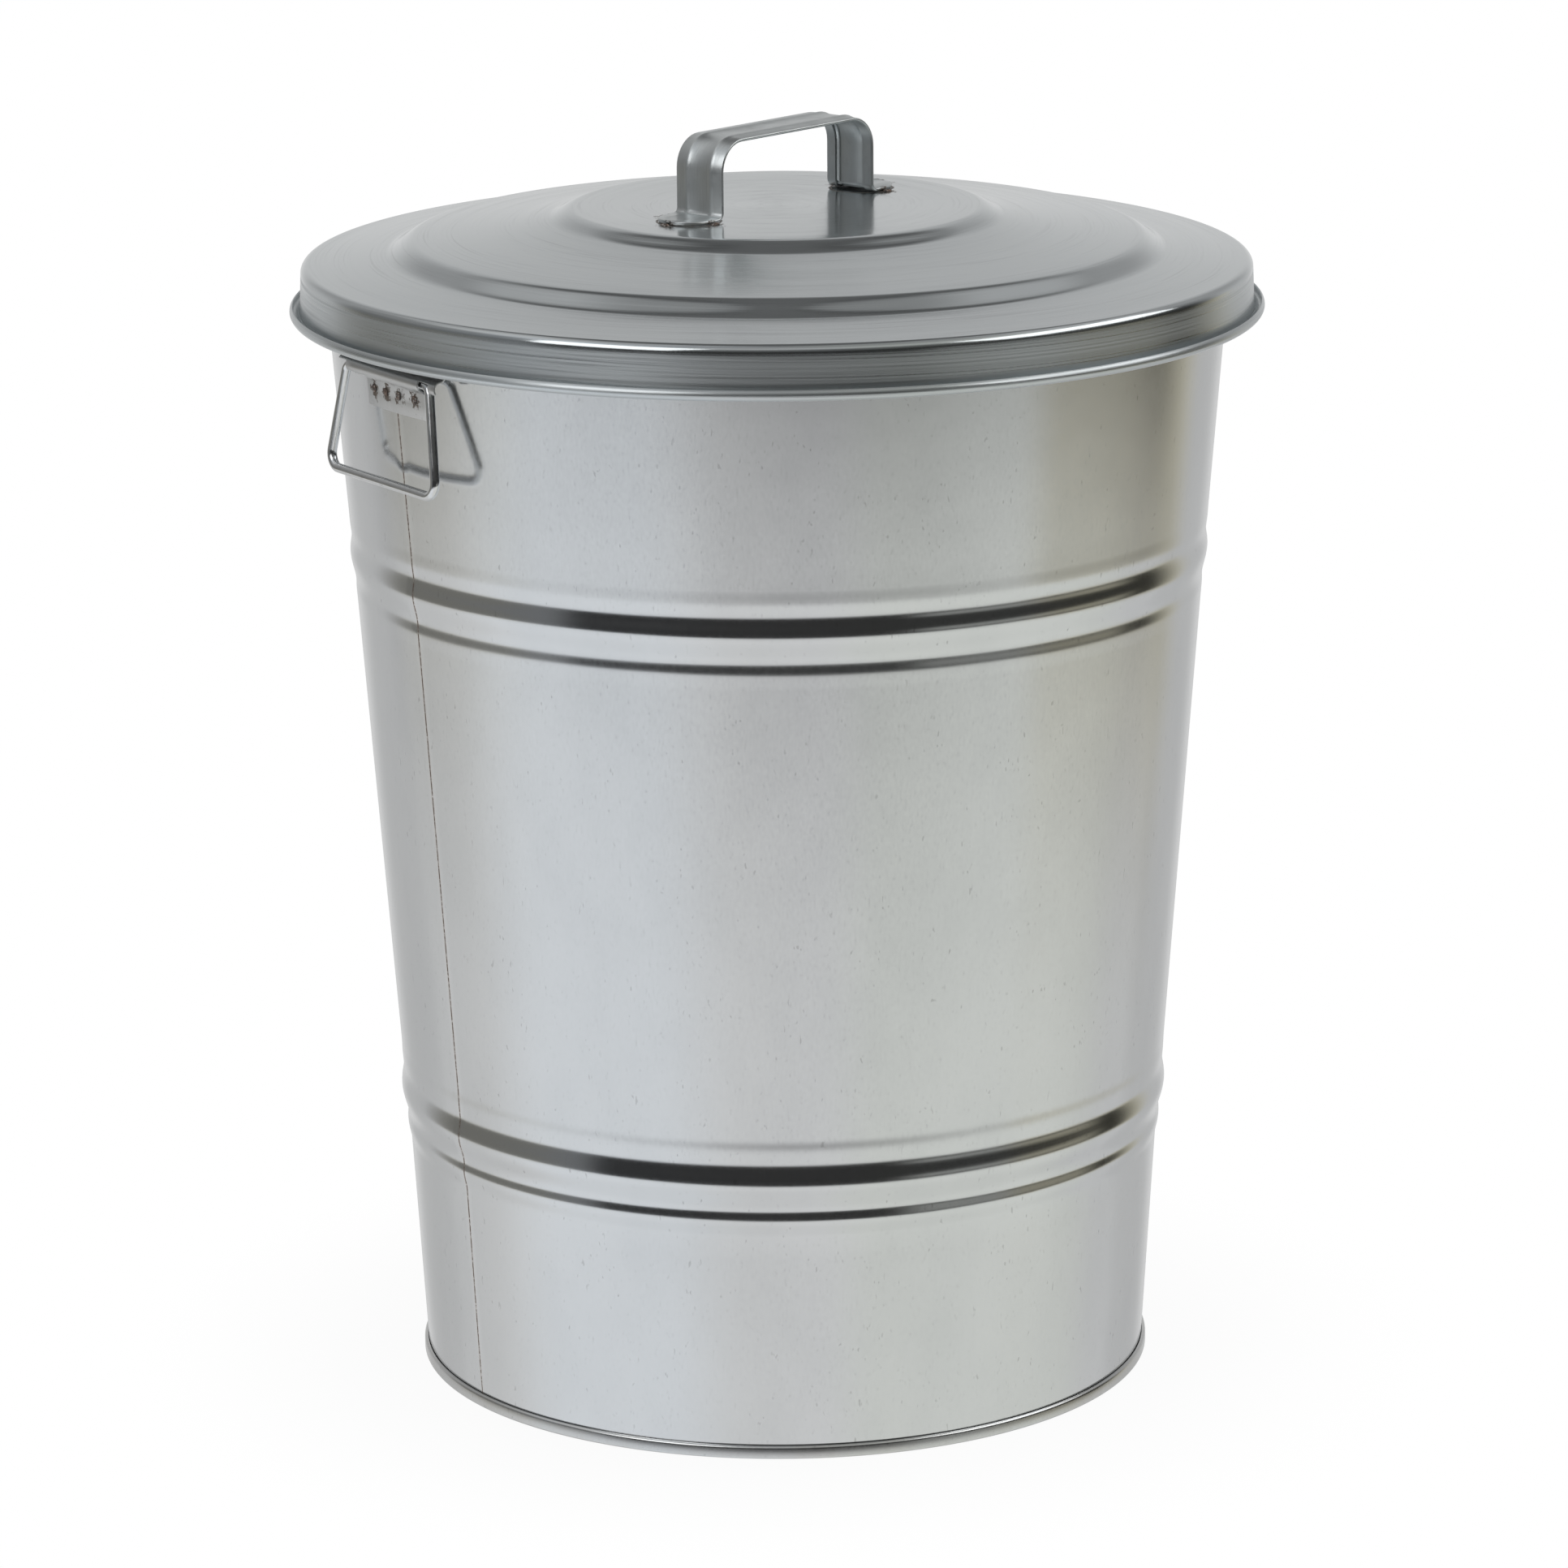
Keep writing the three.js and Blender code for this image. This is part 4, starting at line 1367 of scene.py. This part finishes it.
@dataclass
class Ear:
    """The folded sheet that wraps over a drop handle's hinge bar, spot-welded to the wall."""

    handle: DropHandle
    tub: Tub
    seat: float
    sheet: float = 0.8
    near_end: float = 41.0
    far_end: float = 34.6
    neck: float = 45.0
    column: float = 5.5         # between cuts across the neck
    fillet: float = 1.0         # width of the last column before an edge
    clearance: float = 0.6
    flange_rise: float = 15.0
    flange_foot: float = 7.5
    tab_start: float = 5.0
    tab_drop: float = 16.2
    slot_margin: float = 2.2
    roll_start: float = 110.0
    slot_top: float = 35.0
    lip_end: float = -40.0
    roll_end: float = -110.0
    roll_steps: int = 6
    weld_radius: float = 1.9
    weld_height: float = 0.5
    weld_offsets: tuple[float, ...] = (-16, -6, 4.1, 15.5)
    weld_rise: float = 7.6
    gap: float = 0.3

    @property
    def leg(self) -> float:
        """How far each leg of the handle lies from the middle."""
        return self.handle.top_span / 2

    @property
    def slot(self) -> float:
        """Half the width of each leg's slot."""
        return self.handle.wire / 2 + self.slot_margin

    def wall(self, z: float) -> Pair:
        """(radius, height) of the back of the sheet where it lies on the tub."""
        return self.tub.rim_skin(z) + self.seat, z

    def back(self) -> list[Pair]:
        """The back of the sheet at the ear's middle, from its top edge down.

        Returns:
            (radius, height) pairs.
        """
        middle = self.handle.pivot()
        high, low = middle[1] + self.flange_rise, middle[1] - self.tab_drop
        foot, start = middle[1] + self.flange_foot, middle[1] - self.tab_start
        points = [self.wall(z) for z in (high, (high + foot) / 2, foot)]
        radius = self.handle.wire / 2 + self.clearance
        marks = (self.roll_start, self.slot_top, self.lip_end, self.roll_end)
        for i, (a, b) in enumerate(zip(marks, marks[1:])):
            points += arc(middle, radius, a, b, self.roll_steps)[min(i, 1):]
        return points + [self.wall(z) for z in (start, (start + low) / 2, low)]

    def columns(self) -> list[float]:
        """Where the sheet is cut across, from one side to the other.

        Returns:
            The places along the hinge bar.
        """
        neck, leg, slot = self.neck / 2, self.leg, self.slot
        half = [self.column * i for i in (1, 2, 3)]
        half += [neck - self.fillet, neck, leg - slot, leg - slot / 2, leg]
        near = [leg + slot / 2, leg + slot, self.near_end - self.fillet, self.near_end]
        return [-y for y in reversed(half + [self.far_end])] + [0] + half + near

    def cut_away(self, p: Vector) -> bool:
        """Says which faces of the rolled strip go.

        Args:
            p: the middle of a face.

        Returns:
            Whether it lies in a leg's slot, or beside the neck below the roll.
        """
        pivot = self.handle.pivot()
        along, high = abs(p.y) / MM, p.z / MM - pivot[1]
        angle = math.degrees(math.atan2(high, p.x / MM - pivot[0]))
        if high > 0 and angle > self.slot_top:
            return False
        if self.lip_end < angle <= self.slot_top:
            return abs(along - self.leg) < self.slot
        return along > self.neck / 2

    def weld_places(self) -> list[Place]:
        """Where the spot welds stand on the tab.

        Returns:
            (radius, angle, height) of each one's base, in mm and radians.
        """
        z = self.handle.pivot_height - self.tab_drop + self.weld_rise
        radius = self.wall(z)[0] + self.sheet + self.gap
        extra = math.pi if self.handle.side is Side.LEFT else 0.0
        return [(radius, along / radius + extra, z) for along in self.weld_offsets]

    def build(self) -> None:
        """Models the ear."""
        side, columns = self.handle.side, self.columns()
        line = [Vector((r * MM, columns[0] * MM, z * MM)) for r, z in self.back()]
        piece = Workpiece(f"ear_{side.value}", line[0]).line(line[1:]).everything()
        for a, b in zip(columns, columns[1:]):
            piece.draw_out(Vector((0, (b - a) * MM, 0)))
        piece.pick(self.cut_away, Pick.FACES)
        bpy.ops.mesh.delete(type="FACE")
        for corner in bmesh.from_edit_mesh(piece.obj.data).verts:
            wall = self.wall(corner.co.z / MM)[0]
            if abs(corner.co.x / MM - wall) < 0.01:
                corner.co.x = math.sqrt(wall ** 2 - (corner.co.y / MM) ** 2) * MM
        piece.faces_out().faces_the(lambda p: Vector((-1, 0, 0)))
        piece.thicken(self.sheet * MM).soften(0.2 * MM)
        if side is Side.LEFT:
            piece.reopen().half_turn()
        places = tuple((r * math.cos(t) * MM, r * math.sin(t) * MM, z * MM)
                       for r, t, z in self.weld_places())
        finish = GalvanizedSheet(Slot.EAR, (0.64, 0.645, 0.64), (0.58, 0.585, 0.58), roughness=0.36,
                                 spots=BurntSpots(places, radius=3.1 * MM, upright=0.75))
        fit_out(piece.finish(), "tub", finish, f"bracket_{side.value}")

    def weld_on(self) -> None:
        """Models the spot welds on the tab."""
        side, finish = self.handle.side, BurntMetal()
        shared = finish.material(f"weld_{side.value}_finish")
        lump = WeldLump(self.weld_radius, self.weld_radius, self.weld_height)
        tilt = math.pi / 2 + math.atan(self.tub.upper_taper)
        side_seed = 1 if side is Side.LEFT else 0
        for i, (r, t, z) in enumerate(self.weld_places(), start=1):
            place = Matrix.Translation((r * math.cos(t) * MM, r * math.sin(t) * MM, z * MM))
            seat = place @ Matrix.Rotation(t, 4, "Z") @ Matrix.Rotation(tilt, 4, "Y")
            made = lump.build(f"ear_{side.value}_spot_{i}", seat, 10 * i + side_seed)
            fit_out(made, "tub", finish, f"bracket_{side.value}_weld_{i}", shared)


# ---------------------------------------------------------------- studio


@dataclass(frozen=True)
class Surroundings:
    """What bright sheet mirrors: a pale table, a dark room round it and a grey wall behind.

    Levels are light, and 1 is white. Turns are degrees from the camera's side, to the right. A
    height is the Z of the mirrored direction, and `ahead` is 1 towards the camera and -1 behind.
    """

    front: Vector
    right: Vector
    left_window: tuple[float, float, float] = (-74, -40, 30)        # from, to, soft edge
    middle: tuple[float, float, float] = (8, 36, 24)
    right_side: tuple[float, float, float] = (30, 98, 20)
    right_shade: tuple[float, float, float] = (80, 127, 16)
    left_shade: tuple[float, float, float] = (-118, -80, 16)
    table_end: float = 0.286        # how far below level the table ends
    table_slant: float = 0.051      # how much lower it ends towards the camera
    table_light: float = 0.66
    table_front_light: float = 0.13
    table_left_light: float = 0.07
    table_end_shade: float = 0.13
    table_near_shade: float = 0.05
    room_light: float = 0.03
    room_left_light: float = 0.15
    room_right_light: float = 0.25
    ceiling_light: float = 0.10
    ceiling_top_light: float = 0.20
    panel_light: float = 0.20
    wall_light: float = 0.71
    wall_top_shade: float = 0.17
    wall_middle_shade: float = 0.16
    wall_gap_shade: float = 0.08
    wall_gap_middle_shade: float = 0.32
    cool: Colour = (0.97, 1.0, 1.035)
    greenish: Colour = (0.985, 1.0, 0.955)
    warm: Colour = (1.06, 1.0, 0.78)

    def seen(self, net: Net) -> tuple[Field, bpy.types.NodeSocket]:
        """Works out what a mirrored direction shows.

        Args:
            net: the world's nodes.

        Returns:
            Its light and its tint.
        """
        x, y, z = net.axes(net.node("ShaderNodeTexCoord").outputs["Generated"])
        level = (x * x + y * y).root().at_least(0.001)
        ahead = (x * self.front.x + y * self.front.y) / level
        turn = ((x * self.right.x + y * self.right.y) / level).bearing(ahead)
        left, middle = turn.between(*self.left_window), turn.between(*self.middle)
        sides = turn.between(*self.right_shade) + turn.between(*self.left_shade) * 0.4
        over_table = z + self.table_end + ahead * self.table_slant
        over_table = over_table - left * 0.02 + middle * 0.008 + sides * 0.017
        above = self.above(turn, ahead, z)
        table = self.table(over_table, left, ahead, z)
        light = above + (table - above) * over_table.rises(0.022, -0.022) * ahead.rises(-0.80, -0.55)
        tint = net.blend(left, (1, 1, 1), self.cool)
        tint = net.blend(turn.between(*self.right_side), tint, self.greenish)
        warmth = sides * over_table.rises(-0.06, 0.0) * z.rises(0.1, -0.1)
        return light, net.blend(warmth, tint, self.warm)

    def table(self, over_table: Field, left: Field, ahead: Field, z: Field) -> Field:
        """The table's light.

        Args:
            over_table: how far the direction points above the table's end.
            left: 1 towards the window at the left.
            ahead: 1 towards the camera.
            z: the direction's height.

        Returns:
            The light.
        """
        light = self.table_light + ahead.rises(-0.50, 0.15) * self.table_front_light
        light = light + left * self.table_left_light - z.rises(-0.50, -0.70) * self.table_near_shade
        return light - over_table.rises(-0.07, 0.0) * self.table_end_shade

    def above(self, turn: Field, ahead: Field, z: Field) -> Field:
        """The light of the room and of the wall behind, above the table.

        Args:
            turn: degrees from the camera's side.
            ahead: 1 towards the camera.
            z: the direction's height.

        Returns:
            The light.
        """
        room = self.room_light + turn.between(-118, -64, 12) * self.room_left_light
        room = room + z.rises(0.10, 0.45) * self.ceiling_light
        room = room + z.rises(0.50, 0.90) * self.ceiling_top_light
        low = z.rises(-0.28, -0.22) * z.rises(-0.07, -0.14)
        room = room + turn.between(44, 98, 14) * low * self.room_right_light
        gap = self.wall_gap_shade + ahead.rises(-0.82, -0.95) * self.wall_gap_middle_shade
        wall = self.wall_light - z.rises(-0.05, 0.42) * self.wall_top_shade
        wall = wall - ahead.rises(-0.99, -0.88) * self.wall_middle_shade - z.rises(0.51, 0.70) * gap
        panel = z.rises(0.55, 0.70) * z.rises(0.93, 0.82) * ahead.rises(-0.95, -0.82)
        return room + (wall - room) * ahead.rises(-0.42, -0.74) + panel * self.panel_light


@dataclass
class Studio:
    """The camera of the photograph, a pale floor and the soft light round the can."""

    azimuth: float = math.radians(-34.0)
    distance: float = 2.896
    height: float = 0.9938
    pitch: float = math.radians(14.41)
    roll: float = -0.0078
    focal_pixels: float = 8593.5
    image_pixels: float = 1932.0
    aside_pixels: float = 3.9   # how far the lens axis lies left of the photograph's middle
    sensor: float = 36.0
    floor_radius: float = 4.0
    floor_sides: int = 96
    floor_white: float = 0.92   # how much of the floor's light is its own, near the can
    shadow_reach: Pair = (0.15, 0.30)
    lamp_distance: float = 3.0
    lamp_target: float = 0.3
    plain_light: float = 0.70

    def front(self) -> Vector:
        """The level direction from the can to the camera."""
        return Vector((math.sin(self.azimuth), -math.cos(self.azimuth), 0))

    def right(self) -> Vector:
        """The level direction to the photograph's right."""
        return Vector((math.cos(self.azimuth), math.sin(self.azimuth), 0))

    def camera(self) -> None:
        """Makes the camera."""
        front, right = self.front(), self.right()
        ahead = -front * math.cos(self.pitch) - Vector((0, 0, math.sin(self.pitch)))
        up = right.cross(ahead)
        across = right * math.cos(self.roll) + up * math.sin(self.roll)
        above = up * math.cos(self.roll) - right * math.sin(self.roll)
        bpy.ops.object.camera_add()
        made = bpy.context.object
        made.name = "photo_camera"
        place = front * self.distance + Vector((0, 0, self.height))
        turned_by = Matrix((across, above, -ahead)).transposed().to_4x4()
        made.matrix_world = Matrix.Translation(place) @ turned_by
        made.data.sensor_width = self.sensor
        made.data.shift_x = self.aside_pixels / self.image_pixels
        made.data.lens = self.focal_pixels / self.image_pixels * self.sensor
        made.data.clip_end = 100.0
        bpy.context.scene.camera = made

    def world(self) -> None:
        """Makes a white backdrop; bright sheet mirrors the surroundings in front of it."""
        world = bpy.data.worlds.new("studio_room")
        bpy.context.scene.world = world
        world.use_nodes = True
        net = Net(world.node_tree)
        seen, tint = Surroundings(self.front(), self.right()).seen(net)
        path = net.node("ShaderNodeLightPath").outputs
        mirrored = Field(net, path["Is Glossy Ray"])
        shown = Field(net, path["Is Camera Ray"]) + Field(net, path["Is Transmission Ray"])
        shown = (shown + mirrored * seen).at_most(1.0)
        light = net.node("ShaderNodeBackground", inputs={
            "Color": (1, 1, 1, 1), "Strength": (1.0 - mirrored) * self.plain_light})
        white = net.node("ShaderNodeBackground", inputs={
            "Color": net.blend(mirrored, (1, 1, 1), tint), "Strength": 1.0})
        both = net.node("ShaderNodeMixShader", inputs={
            0: shown, 1: light.outputs[0], 2: white.outputs[0]})
        net.node("ShaderNodeOutputWorld", inputs={"Surface": both.outputs[0]})

    def floor(self) -> None:
        """Makes a pale floor that keeps the can's shadow."""
        nothing_selected()
        bpy.ops.mesh.primitive_circle_add(vertices=self.floor_sides, radius=self.floor_radius,
                                          fill_type="NGON")
        floor = bpy.context.object
        floor.name = "pale_floor"
        made = bpy.data.materials.new("pale_floor_finish")
        made.use_nodes = True
        net = Net(made.node_tree)
        matt = net.node("ShaderNodeBsdfDiffuse", inputs={"Color": (0.9, 0.9, 0.9, 1)})
        white = net.node("ShaderNodeEmission", inputs={"Color": (1, 1, 1, 1), "Strength": 1.0})
        path = net.node("ShaderNodeLightPath").outputs
        seen = Field(net, path["Is Camera Ray"]) + Field(net, path["Is Glossy Ray"])
        seen = (seen + Field(net, path["Is Transmission Ray"])).at_most(1.0)
        x, y, _ = net.axes(net.place())
        away = (x * x + y * y).root().rises(*self.shadow_reach)
        share = seen * (self.floor_white + away * (1 - self.floor_white))
        both = net.node("ShaderNodeMixShader", inputs={
            0: share, 1: matt.outputs[0], 2: white.outputs[0]})
        net.node("ShaderNodeOutputMaterial", inputs={"Surface": both.outputs[0]})
        floor.data.materials.append(made)
        floor.visible_glossy = False

    def lamp(self, name: str, turn: float, rise: float, size: Pair, power: float) -> None:
        """Adds one large soft lamp that looks at the can.

        Args:
            name: the lamp's name.
            turn: degrees from the camera's side, to the right.
            rise: degrees above the floor.
            size: its width and height.
            power: in watts.
        """
        nothing_selected()
        turn, rise = math.radians(turn), math.radians(rise)
        way = (self.front() * math.cos(turn) + self.right() * math.sin(turn)) * math.cos(rise)
        way.z = math.sin(rise)
        bpy.ops.object.light_add(type="AREA")
        lamp = bpy.context.object
        lamp.name = name
        lamp.data.shape = "RECTANGLE"
        lamp.data.size, lamp.data.size_y = size
        lamp.data.energy = power
        lamp.location = way * self.lamp_distance + Vector((0, 0, self.lamp_target))
        lamp.rotation_mode = "QUATERNION"
        lamp.rotation_quaternion = (-way).to_track_quat("-Z", "Y")

    def build(self) -> None:
        """Makes the camera, the world, the floor and the two lamps."""
        self.camera()
        self.world()
        self.floor()
        self.lamp("left_soft_lamp", -42, 32, (1.8, 1.8), 16.0)
        self.lamp("right_soft_lamp", 84, 38, (3.0, 1.3), 20.0)
        bpy.context.scene.view_settings.view_transform = "Standard"


def main() -> None:
    """Builds the can over its frame."""
    logging.basicConfig(level=logging.INFO, format="%(name)s: %(message)s")
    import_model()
    Studio().build()
    tub = Tub()
    tub.build()
    Lid(tub).build()
    for side in Side:
        handle = DropHandle(side, tub.ear_height)
        handle.build()
        ear = Ear(handle, tub, tub.gap + (tub.lap_lift if side is Side.LEFT else 0.0))
        ear.build()
        ear.weld_on()


if __name__ == "__main__":
    main()
